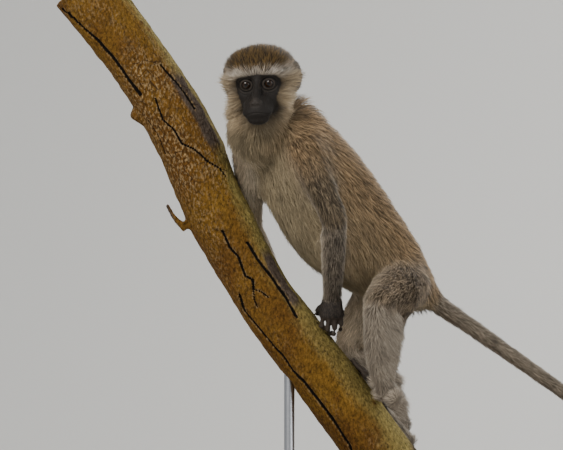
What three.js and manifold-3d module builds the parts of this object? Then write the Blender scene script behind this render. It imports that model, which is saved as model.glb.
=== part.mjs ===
// A grown vervet monkey that climbs a sloping length of branch, on a plain display stand.
// Millimetres, +Z up. The origin is the middle of the stand base's underside. The monkey faces -Y
// and turns its left side, the +X one, towards -Y too. Every solid of flesh is the outer form of
// the coat, and neighbours are parted by a thin gap.
import * as THREE from 'three';
import { LoftGeometry } from 'three/addons/geometries/LoftGeometry.js';
import { RoundedBoxGeometry } from 'three/addons/geometries/RoundedBoxGeometry.js';
import { mergeVertices } from 'three/addons/utils/BufferGeometryUtils.js';
import Module from 'manifold-3d';

const wasm = await Module();
wasm.setup();

// ---- Driving dimensions ------------------------------------------------------------------

const GAP = 0.3; // between neighbouring pieces
const WELD = 1e-3; // vertices nearer than this are one vertex

const BASE = { length: 430, depth: 300, thick: 18, corner: 7 };
const ROD = { radius: 7, sides: 14, intoBranch: 16, collarRadius: 17, collarHeight: 8 };
const ROD_PLACES = { lower: 70, upper: -52 }; // where each rod stands along X

const EYE = { radius: 9.2, apart: 29, forward: 23, up: 5 };
const EAR = { height: 40, halfWidth: 12.5, halfThick: 2.2, side: 43, forward: -9, up: 9, flare: 0.32 };

const FINGERS = [ // index, middle, ring, little: place across the palm, length, radius
  { across: 11.5, length: 34, radius: 4.3 },
  { across: 4, length: 39, radius: 4.5 },
  { across: -3.8, length: 37, radius: 4.4 },
  { across: -11, length: 29, radius: 3.9 },
];
const THUMB = { across: 13, length: 21, radius: 4.4 };
const TOES = [
  { across: 10.5, length: 31, radius: 4.7 },
  { across: 3, length: 36, radius: 4.9 },
  { across: -4.6, length: 35, radius: 4.8 },
  { across: -11.6, length: 30, radius: 4.4 },
];
const GREAT_TOE = { across: 10, length: 28, radius: 6 };

const at = (x, y, z) => new THREE.Vector3(x, y, z);
const unit = (x, y, z) => at(x, y, z).normalize();

// The joints of the skeleton, as the animal stands on the branch.
const JOINT = {
  head: at(-88, -48, 581),
  shoulderLeft: at(-37, -57, 508),
  elbowLeft: at(4, -78, 412),
  wristLeft: at(3, -16, 309),
  shoulderRight: at(-104, -6, 502),
  elbowRight: at(-104, 54, 404),
  wristRight: at(-63, 57, 304),
  hipLeft: at(101, 12, 330),
  kneeLeft: at(58, -88, 303),
  ankleLeft: at(67, -44, 192),
  heelLeft: at(85, -54, 178),
  ballLeft: at(49, -6, 209),
  hipRight: at(78, 66, 346),
  kneeRight: at(24, 96, 246),
  ankleRight: at(95, 62, 143),
  heelRight: at(106, 46, 116),
  ballRight: at(44, 45, 177),
};

// The head looks along GAZE, and CROWN is its upward direction.
const GAZE = unit(-0.14, -0.985, -0.13);
const CROWN = unit(-0.03, -0.13, 1).addScaledVector(GAZE, -GAZE.dot(unit(-0.03, -0.13, 1))).normalize();
const LEFT = CROWN.clone().cross(GAZE).normalize();

// ---- Solids ------------------------------------------------------------------------------

function toSolid(geometry) {
  const bare = new THREE.BufferGeometry().copy(geometry);
  bare.deleteAttribute('normal');
  bare.deleteAttribute('uv');
  const welded = mergeVertices(bare, WELD);
  const vertProperties = new Float32Array(welded.attributes.position.array);
  const triVerts = new Uint32Array(welded.index.array);
  return new wasm.Manifold(new wasm.Mesh({ numProp: 3, vertProperties, triVerts }));
}

function toGeometry(solid) {
  const { vertProperties, triVerts } = solid.getMesh();
  const geometry = new THREE.BufferGeometry();
  geometry.setAttribute('position', new THREE.BufferAttribute(vertProperties, 3));
  geometry.setIndex(new THREE.BufferAttribute(triVerts, 1));
  geometry.computeVertexNormals();
  return geometry;
}

// The piece with every face moved outward by the gap, to cut its neighbours with. Each corner is
// pushed along the faces that meet in it, in turn, until it clears them all.
function grown(solid) {
  const { vertProperties, triVerts } = solid.getMesh();
  const cornerOf = (_, i) => at(...vertProperties.slice(3 * i, 3 * i + 3));
  const corners = Array.from({ length: vertProperties.length / 3 }, cornerOf);
  const normals = corners.map(() => []);
  for (let i = 0; i < triVerts.length; i += 3) {
    const [a, b, c] = Array.from(triVerts.slice(i, i + 3), (index) => corners[index]);
    const normal = b.clone().sub(a).cross(c.clone().sub(a)).normalize();
    for (let k = 0; k < 3; k += 1) normals[triVerts[i + k]].push(normal);
  }
  const moved = corners.map((corner, i) => {
    const push = at(0, 0, 0);
    for (let pass = 0; pass < 12; pass += 1) {
      normals[i].forEach((normal) => push.addScaledVector(normal, Math.max(0, GAP - push.dot(normal))));
    }
    return corner.clone().add(push.clampLength(0, GAP * 5));
  });
  const positions = Float32Array.from(moved.flatMap((corner) => corner.toArray()));
  return new wasm.Manifold(new wasm.Mesh({ numProp: 3, vertProperties: positions, triVerts }));
}

// A cut can leave a sliver on the far side of a joint: only the largest body is the piece.
function largest(solid) {
  return solid.decompose().sort((a, b) => b.volume() - a.volume())[0];
}

const cutBy = (solid, ...tools) => largest(tools.reduce((rest, tool) => rest.subtract(tool), solid));

// One cross-section of a loft: its centre, half its width, and its depth on the facing and far sides.
const section = (centre, wide, near = wide, far = near) => ({ centre, wide, near, far });

const DOME_ANGLES = [70, 38].map((degrees) => (degrees * Math.PI) / 180);
const signedPower = (value, power) => Math.sign(value) * Math.abs(value) ** power;

// A closed, tapering body through cross-sections. facing gives the side that near is measured to,
// at the start and at the end. power above 2 makes the sections squarer. domes are the lengths of
// the rounded ends, as shares of their radius.
function loft(sections, options) {
  const { sides, rings, facing, power = 2, domes = [0.8, 0.8], span = [0, 1], relief } = options;
  const [facingStart, facingEnd] = Array.isArray(facing) ? facing : [facing, facing];
  const spine = new THREE.CatmullRomCurve3(sections.map((s) => s.centre));
  const girths = new THREE.CatmullRomCurve3(sections.map((s) => at(s.wide, s.near, s.far)));

  const ringAt = (t, scale, push) => {
    const tangent = spine.getTangent(t);
    const girth = girths.getPoint(t);
    const toward = facingStart.clone().lerp(facingEnd, t);
    toward.addScaledVector(tangent, -toward.dot(tangent)).normalize();
    const across = toward.clone().cross(tangent);
    const centre = spine.getPoint(t).addScaledVector(tangent, push * (girth.x + girth.y + girth.z) / 3);
    return Array.from({ length: sides }, (_, i) => {
      const angle = (i / sides) * 2 * Math.PI;
      const bump = scale * (relief ? relief(t, angle) : 1);
      const x = signedPower(Math.cos(angle), 2 / power) * girth.x * bump;
      const depth = Math.sin(angle) > 0 ? girth.y : girth.z;
      const y = signedPower(Math.sin(angle), 2 / power) * depth * bump;
      return centre.clone().addScaledVector(across, x).addScaledVector(toward, y);
    });
  };

  const dome = (t, length) => (length ? DOME_ANGLES : [])
    .map((angle) => ringAt(t, Math.cos(angle), length * Math.sin(angle)));
  const shareAt = (i) => span[0] + (span[1] - span[0]) * (i / rings);
  const body = Array.from({ length: rings + 1 }, (_, i) => ringAt(shareAt(i), 1, 0));
  const all = [...dome(span[0], -domes[0]), ...body, ...dome(span[1], domes[1]).reverse()];
  return toSolid(new LoftGeometry(all, { capStart: true, capEnd: true }));
}

// ---- Branch ------------------------------------------------------------------------------

const BRANCH_RADIUS = 40;
const BRANCH_LINE = [
  at(-319, 0, 709), at(-246, 0, 614), at(-184, 0, 512), at(-152, 0, 435),
  at(-125, 0, 384), at(-81, 0, 307), at(-44, 0, 256), at(13, 0, 179), at(87, 0, 79),
];
const BRANCH_GIRTHS = [1.04, 0.97, 1.02, 1.03, 0.98, 0.94, 0.98, 1, 1.03];
const branchCurve = new THREE.CatmullRomCurve3(BRANCH_LINE);
const branchSamples = branchCurve.getPoints(240);

function barkRelief(t, angle) {
  const ridges = 0.022 * Math.sin(3 * angle + 9 * t) + 0.016 * Math.sin(2 * angle - 23 * t);
  return 1 + ridges + 0.012 * Math.sin(31 * t);
}

function branch() {
  const sections = BRANCH_LINE.map((centre, i) => section(centre, BRANCH_RADIUS * BRANCH_GIRTHS[i]));
  const shape = { sides: 14, rings: 18, facing: unit(0, -1, 0), domes: [0, 0], relief: barkRelief };
  const whole = loft(sections, shape);
  const stub = loft(
    [section(at(-184, -4, 398), 6), section(at(-197, -5, 410), 4.6), section(at(-209, -6, 430), 3.2)],
    { sides: 8, rings: 4, facing: unit(0, -1, 0), domes: [0.2, 0.3] },
  );
  const knot = loft(
    [section(at(-232, -8, 540), 13), section(at(-247, -9, 543), 9), section(at(-254, -9, 545), 6)],
    { sides: 10, rings: 3, facing: unit(0, 0, 1), domes: [0.2, 0.5] },
  );
  return whole.add(stub).add(knot);
}

// The nearest point of the branch's centre line, and the way out from it to the given point.
function outFromBranch(point) {
  const nearest = branchSamples.reduce((best, sample) =>
    (sample.distanceToSquared(point) < best.distanceToSquared(point) ? sample : best));
  const index = branchSamples.indexOf(nearest);
  const before = branchSamples[Math.max(0, index - 1)];
  const after = branchSamples[Math.min(branchSamples.length - 1, index + 1)];
  const along = after.clone().sub(before).normalize();
  const out = point.clone().sub(nearest);
  out.addScaledVector(along, -out.dot(along)).normalize();
  return { nearest, out };
}

// ---- Hands and feet ----------------------------------------------------------------------

const PHALANGES = 3;

// Lifts a point of a digit until the digit's flesh only rests on the bark.
function onBark(point, radius, lift = 0) {
  const { nearest, out } = outFromBranch(point);
  const reach = point.clone().sub(nearest).dot(out);
  return point.addScaledVector(out, BRANCH_RADIUS + radius * 0.85 + lift - reach);
}

// A digit that lies on the branch: it walks over the bark in its own direction.
function huggingPath(start, direction, length, radius) {
  const point = start.clone();
  const heading = direction.clone();
  const path = [point.clone()];
  const steps = PHALANGES * 2;
  for (let i = 0; i < steps; i += 1) {
    point.addScaledVector(heading, length / steps);
    onBark(point, radius, Math.max(0, 7 - 3.5 * i)); // the knuckles arch above the bark
    const { out } = outFromBranch(point);
    heading.addScaledVector(out, -heading.dot(out)).normalize();
    path.push(point.clone());
  }
  return path;
}

// A digit that is bent over by its own joints: bends are each phalanx's turn from the palm.
function curledPath(start, frame, length, radius, bends) {
  const point = start.clone();
  const path = [point.clone()];
  bends.forEach((bend, i) => {
    const share = [0.42, 0.32, 0.26][i] * length;
    const heading = frame.along.clone().multiplyScalar(Math.cos(bend));
    heading.addScaledVector(frame.back, -Math.sin(bend));
    point.addScaledVector(heading, share);
    const { nearest } = outFromBranch(point);
    if (point.distanceTo(nearest) < BRANCH_RADIUS + radius) onBark(point, radius);
    path.push(point.clone());
  });
  return path;
}

function digit(path, radius, back) {
  const last = path.length - 1;
  const sections = path.map((centre, i) => section(centre, radius * (1 - 0.2 * (i / last))));
  return loft(sections, { sides: 5, rings: 3, facing: back, domes: [0, 0.9] });
}

// A frame for a hand or foot: along runs to the digits, back is the dorsal side, thumb the inner one.
function limbFrame(along, back, thumbTurn) {
  const forward = along.clone().normalize();
  const dorsal = back.clone().addScaledVector(forward, -back.dot(forward)).normalize();
  return { along: forward, back: dorsal, thumb: forward.clone().cross(dorsal).multiplyScalar(thumbTurn) };
}

const placed = (origin, frame, forward, across, up = 0) => origin.clone()
  .addScaledVector(frame.along, forward)
  .addScaledVector(frame.thumb, across)
  .addScaledVector(frame.back, up);

function hand(wrist, frame, palmLength, pathOf) {
  const palm = loft([
    section(wrist.clone().addScaledVector(frame.along, -3), 11.5, 9, 9),
    section(placed(wrist, frame, palmLength * 0.4, 1), 15, 8, 8.5),
    section(placed(wrist, frame, palmLength * 0.8, 0.5), 17, 7.5, 7),
    section(placed(wrist, frame, palmLength, 0), 15.5, 6, 6),
  ], { sides: 8, rings: 3, facing: frame.back, domes: [0.3, 0.3] });
  const fingers = FINGERS.map(({ across, length, radius }) => {
    const knuckle = placed(wrist, frame, palmLength - Math.abs(across - 3) * 0.3, across);
    const heading = frame.along.clone().addScaledVector(frame.thumb, across * 0.014).normalize();
    return digit(pathOf(knuckle, heading, length, radius), radius, frame.back);
  });
  const thumbBase = placed(wrist, frame, palmLength * 0.35, THUMB.across, -3);
  const thumbHeading = frame.along.clone().multiplyScalar(0.62);
  thumbHeading.addScaledVector(frame.thumb, 0.75).normalize();
  const thumbPath = pathOf(thumbBase, thumbHeading, THUMB.length, THUMB.radius);
  const thumb = digit(thumbPath, THUMB.radius, frame.back);
  return [...fingers, thumb].reduce((sum, finger) => sum.add(finger), palm);
}

function foot(heel, ball, ankle, frame) {
  const length = heel.distanceTo(ball);
  const sole = loft([
    section(heel.clone().addScaledVector(frame.along, 6), 10, 12, 9),
    section(placed(heel, frame, length * 0.35, 0, 1), 11.5, 14, 8.5),
    section(placed(heel, frame, length * 0.7, 1, 0.5), 14, 10, 7.5),
    section(placed(heel, frame, length, 0), 16.5, 7.5, 7),
  ], { sides: 8, rings: 3, facing: frame.back, domes: [0.55, 0.3] });
  const instep = loft([
    section(ankle, 12), section(placed(heel, frame, length * 0.42, 0, 2), 12, 11, 8),
  ], { sides: 8, rings: 1, facing: frame.back, domes: [0.3, 0.5] });
  const toes = TOES.map(({ across, length: toeLength, radius }) => {
    const knuckle = placed(heel, frame, length - Math.abs(across - 2) * 0.45, across);
    const heading = frame.along.clone().addScaledVector(frame.thumb, across * 0.012).normalize();
    return digit(huggingPath(knuckle, heading, toeLength, radius), radius, frame.back);
  });
  const toeBase = placed(heel, frame, length * 0.5, GREAT_TOE.across, -1);
  const toeHeading = frame.along.clone().multiplyScalar(0.85).addScaledVector(frame.thumb, 0.75).normalize();
  const greatPath = huggingPath(toeBase, toeHeading, GREAT_TOE.length, GREAT_TOE.radius);
  const greatToe = digit(greatPath, GREAT_TOE.radius, frame.back);
  return [instep, ...toes, greatToe].reduce((sum, piece) => sum.add(piece), sole);
}

// ---- Head --------------------------------------------------------------------------------

const inHead = (forward, side, up) => JOINT.head.clone()
  .addScaledVector(GAZE, forward).addScaledVector(LEFT, side).addScaledVector(CROWN, up);

function skull() {
  const ruff = loft([
    section(inHead(-54, 0, -3), 25, 23, 27),
    section(inHead(-40, 0, -1), 40, 38, 38),
    section(inHead(-18, 0, 0), 47, 49, 46),
    section(inHead(4, 0, 0), 49.5, 51, 50),
    section(inHead(19, 0, 0), 48.5, 46, 51),
    section(inHead(29, 0, -1), 42, 36, 47),
    section(inHead(35, 0, -3), 33, 27, 38),
  ], { sides: 18, rings: 7, facing: CROWN, power: 2.35, domes: [0.7, 0.08] });
  const muzzle = loft([
    section(inHead(28, 0, -12), 26, 20, 27),
    section(inHead(44, 0, -16), 22.5, 16, 25),
    section(inHead(56, 0, -20), 20, 14, 22),
    section(inHead(64, 0, -21.5), 16.5, 10.5, 17),
  ], { sides: 12, rings: 3, facing: CROWN, power: 2.2, domes: [0.2, 0.32] });
  return [-1, 1].reduce((head, side) => head.subtract(socket(side)), ruff.add(muzzle));
}

// The opening in front of each eye.
function socket(side) {
  const middle = (forward) => inHead(forward, (side * EYE.apart) / 2, EYE.up);
  return loft([
    section(middle(EYE.forward), EYE.radius * 0.9, EYE.radius * 0.75),
    section(middle(EYE.forward + EYE.radius * 2), EYE.radius * 1.5, EYE.radius * 1.2),
  ], { sides: 8, rings: 1, facing: CROWN, domes: [0, 0] });
}

function eyeball(side) {
  const ball = new THREE.SphereGeometry(EYE.radius, 12, 8);
  const centre = inHead(EYE.forward, (side * EYE.apart) / 2, EYE.up);
  ball.translate(centre.x, centre.y, centre.z);
  return toSolid(ball);
}

// The ear is a thin rounded leaf against the side of the head, its back edge standing out.
function ear(side) {
  const base = inHead(EAR.forward, side * EAR.side, EAR.up);
  const leaf = [[-0.5, 0.35], [-0.28, 0.72], [0, 1], [0.28, 0.95], [0.5, 0.5]];
  const sections = leaf.map(([height, width]) => {
    const centre = base.clone().addScaledVector(CROWN, height * EAR.height * 0.94)
      .addScaledVector(LEFT, side * 3 * Math.cos(height * Math.PI));
    return section(centre, EAR.halfThick, EAR.halfWidth * width);
  });
  const outward = GAZE.clone().multiplyScalar(-1).addScaledVector(LEFT, side * EAR.flare).normalize();
  return loft(sections, { sides: 9, rings: 4, facing: outward, domes: [1.2, 1.2] });
}

// ---- Trunk, neck and tail ----------------------------------------------------------------

const DORSAL_CHEST = unit(0.39, 0.7, 0.6);
const DORSAL_RUMP = unit(0.54, 0.33, 0.76);

const trunkSections = [
  section(at(-68, -18, 522), 48, 58, 36),
  section(at(-52, -10, 497), 58, 65, 53),
  section(at(-33, -2, 471), 62, 69, 68),
  section(at(-11, 8, 446), 62, 69, 79),
  section(at(15, 19, 415), 61, 65, 82),
  section(at(43, 31, 384), 57, 58, 73),
  section(at(70, 42, 356), 52, 50, 58),
  section(at(94, 50, 332), 45, 42, 45),
  section(at(116, 56, 312), 31, 29, 31),
];
const trunkShape = { sides: 20, rings: 10, facing: [DORSAL_CHEST, DORSAL_RUMP], domes: [0.5, 0.45] };

const neckSections = [
  section(at(-86, -28, 562), 38, 34, 34),
  section(at(-78, -22, 543), 44, 46, 38),
  section(at(-66, -16, 520), 48, 52, 40),
  section(at(-55, -9, 500), 50, 52, 42),
];
const neckFacing = [unit(0.2, 0.9, 0.2), DORSAL_CHEST];
const neckShape = { sides: 12, rings: 2, facing: neckFacing, domes: [0.2, 0.2] };

const tailSections = [
  section(at(112, 50, 322), 16), section(at(126, 54, 311), 15.5), section(at(154, 58, 291), 13.5),
  section(at(192, 60, 265), 12.2), section(at(243, 62, 229), 11), section(at(298, 62, 190), 10.2),
  section(at(346, 58, 155), 9.8), section(at(397, 48, 122), 9.4), section(at(446, 32, 97), 8.8),
  section(at(491, 12, 80), 8.2), section(at(533, -10, 73), 7.6), section(at(568, -30, 77), 6.6),
  section(at(592, -44, 86), 4.4),
];
const TAIL_LENGTHS = 4;

function tailPiece(index) {
  const gapShare = GAP / 620;
  const start = index / TAIL_LENGTHS + (index ? gapShare : 0);
  const end = (index + 1) / TAIL_LENGTHS - (index < TAIL_LENGTHS - 1 ? gapShare : 0);
  const domes = [0, index === TAIL_LENGTHS - 1 ? 1.3 : 0];
  return loft(tailSections, { sides: 8, rings: 5, facing: unit(0, 0, 1), domes, span: [start, end] });
}

// ---- Limbs -------------------------------------------------------------------------------

const between = (a, b, share) => a.clone().lerp(b, share);

function upperArm(shoulder, elbow, facing) {
  return loft([
    section(between(shoulder, elbow, 0.02), 27, 27, 27),
    section(between(shoulder, elbow, 0.3), 24, 26, 25),
    section(between(shoulder, elbow, 0.65), 19.5, 20.5, 20),
    section(between(shoulder, elbow, 1), 17, 18.5, 17),
  ], { sides: 10, rings: 4, facing, domes: [0.8, 0.7] });
}

function forearm(elbow, wrist, facing) {
  return loft([
    section(between(elbow, wrist, 0.04), 16, 17.5, 16),
    section(between(elbow, wrist, 0.28), 17, 17.5, 17),
    section(between(elbow, wrist, 0.65), 15, 15, 15),
    section(between(elbow, wrist, 0.96), 12.5, 11.5, 11.5),
  ], { sides: 10, rings: 4, facing, domes: [0.6, 0.5] });
}

function thigh(hip, knee, facing) {
  return loft([
    section(between(hip, knee, -0.06), 36, 35, 36),
    section(between(hip, knee, 0.3), 38, 35, 42),
    section(between(hip, knee, 0.65), 30, 28, 31),
    section(between(hip, knee, 0.97), 22, 21, 22),
  ], { sides: 12, rings: 4, facing, domes: [0.6, 0.65] });
}

// The calf's hair makes the back of the shank much deeper than its front.
function shank(knee, ankle, calfSide) {
  return loft([
    section(between(knee, ankle, 0.02), 19, 28, 18),
    section(between(knee, ankle, 0.25), 20, 37, 20),
    section(between(knee, ankle, 0.55), 18, 31, 23),
    section(between(knee, ankle, 0.8), 15, 21, 16),
    section(between(knee, ankle, 0.98), 11.5, 13, 10),
  ], { sides: 10, rings: 5, facing: calfSide, domes: [0.7, 0.4] });
}

// ---- Stand -------------------------------------------------------------------------------

function standBase() {
  const plate = new RoundedBoxGeometry(BASE.length, BASE.depth, BASE.thick, 1, BASE.corner);
  plate.translate(0, 0, BASE.thick / 2);
  return toSolid(plate);
}

const branchHeightAt = (x) => branchSamples.reduce((best, sample) =>
  (Math.abs(sample.x - x) < Math.abs(best.x - x) ? sample : best)).z;

// A rod with a collar at its foot. Its top sits in a blind hole in the branch.
function rod(x) {
  const foot = BASE.thick + GAP;
  const slopeDepth = BRANCH_RADIUS * 1.7; // vertical way from the centre line to the underside
  const top = branchHeightAt(x) - slopeDepth + ROD.intoBranch * 1.7;
  const shaft = new THREE.CylinderGeometry(ROD.radius, ROD.radius, top - foot, ROD.sides);
  shaft.rotateX(Math.PI / 2).translate(x, 0, (top + foot) / 2);
  const { collarRadius, collarHeight, sides } = ROD;
  const collar = new THREE.CylinderGeometry(collarRadius - 3, collarRadius, collarHeight, sides);
  collar.rotateX(Math.PI / 2).translate(x, 0, foot + collarHeight / 2);
  return toSolid(shaft).add(toSolid(collar));
}

// ---- Assembly ----------------------------------------------------------------------------

const COAT = { color: 0x7d6c58, roughness: 0.95, metalness: 0 };
const FINISH = {
  crown: { ...COAT, color: 0x6b553d },
  back: { ...COAT, color: 0x866c50 },
  limb: { ...COAT, color: 0x6a5f56 },
  shank: { ...COAT, color: 0x8a7a69 },
  tail: { ...COAT, color: 0x6e6155 },
  skin: { color: 0x1f1b1a, roughness: 0.6, metalness: 0 },
  eye: { color: 0x2a160c, roughness: 0.15, metalness: 0 },
  bark: { color: 0x8a6423, roughness: 0.9, metalness: 0 },
  base: { color: 0x3a3532, roughness: 0.5, metalness: 0 },
  rod: { color: 0x8d8f92, roughness: 0.35, metalness: 1 },
};

const monkey = new THREE.Group();
const cutters = [];

// Each new piece gives way to the ones before it, and to the gap around them.
function addNode(name, finish, solid) {
  const touching = cutters.filter((cutter) => !cutter.intersect(solid).isEmpty());
  const piece = touching.length ? cutBy(solid, ...touching) : solid;
  const mesh = new THREE.Mesh(toGeometry(piece), new THREE.MeshStandardMaterial(FINISH[finish]));
  mesh.name = name;
  monkey.add(mesh);
  cutters.push(grown(piece).add(piece));
}

addNode('stand_base', 'base', standBase());
addNode('stand_rod_lower', 'rod', rod(ROD_PLACES.lower));
addNode('stand_rod_upper', 'rod', rod(ROD_PLACES.upper));
addNode('branch', 'bark', branch());
addNode('eye_left', 'eye', eyeball(1));
addNode('eye_right', 'eye', eyeball(-1));
addNode('head', 'crown', skull());
addNode('trunk', 'back', loft(trunkSections, trunkShape));
addNode('neck', 'back', loft(neckSections, neckShape));
addNode('ear_left', 'skin', ear(1));
addNode('ear_right', 'skin', ear(-1));

// The left hand leans on its bent fingers; the right one lies over the far side of the branch.
const BENDS = [0.7, 1.45, 1.95];
const handLeftFrame = limbFrame(unit(-0.02, -0.48, -0.87), unit(0.08, -0.86, 0.5), 1);
const handRightFrame = limbFrame(unit(0.12, 0.05, -0.99), unit(0.1, 1, 0.1), -1);
const curled = (start, heading, length, radius) =>
  curledPath(start, { along: heading, back: handLeftFrame.back }, length, radius, BENDS);

addNode('upper_arm_left', 'limb', upperArm(JOINT.shoulderLeft, JOINT.elbowLeft, unit(0.4, 0.8, 0.2)));
addNode('upper_arm_right', 'limb', upperArm(JOINT.shoulderRight, JOINT.elbowRight, unit(0.4, 0.8, 0.2)));
addNode('forearm_left', 'limb', forearm(JOINT.elbowLeft, JOINT.wristLeft, unit(0.5, 0.8, 0)));
addNode('forearm_right', 'limb', forearm(JOINT.elbowRight, JOINT.wristRight, unit(0.5, 0.8, 0)));
addNode('hand_left', 'skin', hand(JOINT.wristLeft, handLeftFrame, 28, curled));
addNode('hand_right', 'skin', hand(JOINT.wristRight, handRightFrame, 34, huggingPath));

const { heelLeft, ballLeft, ankleLeft, heelRight, ballRight, ankleRight } = JOINT;
const footLeftFrame = limbFrame(ballLeft.clone().sub(heelLeft), unit(0.74, -0.3, 0.6), 1);
const footRightFrame = limbFrame(ballRight.clone().sub(heelRight), unit(0.47, 0.8, 0.36), -1);

addNode('thigh_left', 'limb', thigh(JOINT.hipLeft, JOINT.kneeLeft, unit(0.2, -0.3, 1)));
addNode('thigh_right', 'limb', thigh(JOINT.hipRight, JOINT.kneeRight, unit(0.2, -0.3, 1)));
addNode('shank_left', 'shank', shank(JOINT.kneeLeft, JOINT.ankleLeft, unit(0.85, 0.5, 0.15)));
addNode('shank_right', 'shank', shank(JOINT.kneeRight, JOINT.ankleRight, unit(0.5, 0.6, 0.6)));
addNode('foot_left', 'skin', foot(heelLeft, ballLeft, ankleLeft, footLeftFrame));
addNode('foot_right', 'skin', foot(heelRight, ballRight, ankleRight, footRightFrame));

for (let i = 0; i < TAIL_LENGTHS; i += 1) addNode(`tail_${i + 1}`, 'tail', tailPiece(i));

export default monkey;
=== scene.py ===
# %% [markdown]
# # A vervet monkey on a branch
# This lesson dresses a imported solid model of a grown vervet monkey. The solids give the outline out
# to the tips of the hair. Here they get a skin, a face, some hundred thousand locks of hair, a
# barked branch and a plain stand. Every piece is placed from the solids themselves, so nothing
# has to be fitted by hand.

# %% Load the frame and keep its box
import math

import bmesh
import bpy
import numpy as np
from mathutils import Matrix, Vector, kdtree, noise


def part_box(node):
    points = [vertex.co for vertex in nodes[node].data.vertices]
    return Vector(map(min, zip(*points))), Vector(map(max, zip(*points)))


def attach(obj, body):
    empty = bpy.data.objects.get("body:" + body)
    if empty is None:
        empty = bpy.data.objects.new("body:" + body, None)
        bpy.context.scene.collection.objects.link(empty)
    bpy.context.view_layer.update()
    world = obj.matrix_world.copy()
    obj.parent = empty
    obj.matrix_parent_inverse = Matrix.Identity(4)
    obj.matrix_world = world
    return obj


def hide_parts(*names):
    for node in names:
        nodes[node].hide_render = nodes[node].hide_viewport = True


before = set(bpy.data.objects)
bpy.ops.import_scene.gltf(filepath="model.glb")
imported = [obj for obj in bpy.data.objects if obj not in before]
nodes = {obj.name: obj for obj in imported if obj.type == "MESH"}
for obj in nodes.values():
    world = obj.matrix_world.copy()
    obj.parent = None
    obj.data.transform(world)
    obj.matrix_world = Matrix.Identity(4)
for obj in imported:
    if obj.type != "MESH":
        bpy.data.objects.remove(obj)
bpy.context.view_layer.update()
MM = 0.001

# %% [markdown]
# ## Camera, floor and light
# The animal is seen level, from far off with a long lens, so its proportions stay true. The
# camera looks along +Y at a spot beside the middle of the stand. The floor is a sheet that
# curves up behind the stand, as in a studio: a plane is extruded and its fold is bevelled.

# %% Camera
SENSOR = 36.0  # millimetres
VIEW_WIDTH = 0.7206  # what the frame spans at the animal
CAMERA_AWAY = 6.0
AIM = (-0.062, 0.403)  # X and Z of the middle of the view

camera_data = bpy.data.cameras.new("camera")
camera_data.sensor_width = SENSOR
camera_data.lens = SENSOR * CAMERA_AWAY / VIEW_WIDTH
camera_data.clip_end = 60.0
camera = bpy.data.objects.new("camera", camera_data)
camera.location = (AIM[0], -CAMERA_AWAY, AIM[1])
camera.rotation_euler = (math.pi / 2, 0.0, 0.0)
bpy.context.scene.collection.objects.link(camera)
bpy.context.scene.camera = camera
print("lens:", round(camera_data.lens, 1), "mm")


# %% Small helpers for making pieces
def show(name, mesh):
    """An object with this mesh, at the origin."""
    obj = bpy.data.objects.new(name, mesh)
    bpy.context.scene.collection.objects.link(obj)
    return obj


def add_object(name, bm, material=None):
    """Turn a bmesh into a smooth object."""
    mesh = bpy.data.meshes.new(name)
    bm.to_mesh(mesh)
    bm.free()
    mesh.polygons.foreach_set("use_smooth", [True] * len(mesh.polygons))
    if material:
        mesh.materials.append(material)
    return show(name, mesh)


def soften(bm, edges, offset, segments):
    bmesh.ops.bevel(
        bm, geom=edges, offset=offset, offset_type="OFFSET", segments=segments, profile=0.5,
        affect="EDGES", material=-1,
    )


def triangle_count(obj):
    obj.data.calc_loop_triangles()
    return len(obj.data.loop_triangles)


# %% Small helpers for materials
def fill(node, sockets):
    """Give a node's inputs numbers or colours, or wire outputs of other nodes to them."""
    for socket, value in sockets.items():
        if isinstance(value, bpy.types.NodeSocket):
            node.id_data.links.new(value, node.inputs[socket])
        else:
            node.inputs[socket].default_value = value


def maker(tree):
    """A short way to put a node of some kind in a tree, with its settings and inputs."""
    def make(kind, sockets, **settings):
        node = tree.nodes.new("ShaderNode" + kind)
        for setting, value in settings.items():
            setattr(node, setting, value)
        fill(node, sockets)
        return node
    return make


def start_material(name, roughness, specular):
    """A material, its shader and its maker of nodes."""
    material = bpy.data.materials.new(name)
    material.use_nodes = True
    shader = material.node_tree.nodes["Principled BSDF"]
    fill(shader, {"Roughness": roughness, "Specular IOR Level": specular})
    return material, shader, maker(material.node_tree)


# %% Floor and backdrop
FLOOR_HALF, WALL_HEIGHT, FOLD = 2.6, 3.2, 1.2

floor_bm = bmesh.new()
bmesh.ops.create_grid(floor_bm, x_segments=1, y_segments=1, size=FLOOR_HALF)
far_edge = [e for e in floor_bm.edges if all(v.co.y > 0 for v in e.verts)]
wall = bmesh.ops.extrude_edge_only(floor_bm, edges=far_edge)["geom"]
wall_verts = [v for v in wall if isinstance(v, bmesh.types.BMVert)]
bmesh.ops.translate(floor_bm, verts=wall_verts, vec=(0, 0, WALL_HEIGHT))
fold = [e for e in floor_bm.edges if all(abs(v.co.z) < 1e-6 and v.co.y > 0 for v in e.verts)]
soften(floor_bm, fold, FOLD, 24)
bmesh.ops.recalc_face_normals(floor_bm, faces=floor_bm.faces)
if min(floor_bm.faces, key=lambda f: f.calc_center_median().z).normal.z < 0:
    bmesh.ops.reverse_faces(floor_bm, faces=floor_bm.faces)
floor = add_object("floor", floor_bm)

# The paper is clear from behind, so it hides nothing when the model is seen from the back.
floor_material, shader, make = start_material("floor_paper", 0.9, 0.2)
fill(shader, {"Base Color": (0.62, 0.61, 0.585, 1)})
from_behind = make("NewGeometry", {}).outputs["Backfacing"]
clear = make("BsdfTransparent", {}).outputs[0]
one_sided = make("MixShader", {0: from_behind, 1: shader.outputs[0], 2: clear})
fill(floor_material.node_tree.nodes["Material Output"], {"Surface": one_sided.outputs[0]})
floor.data.materials.append(floor_material)

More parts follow.
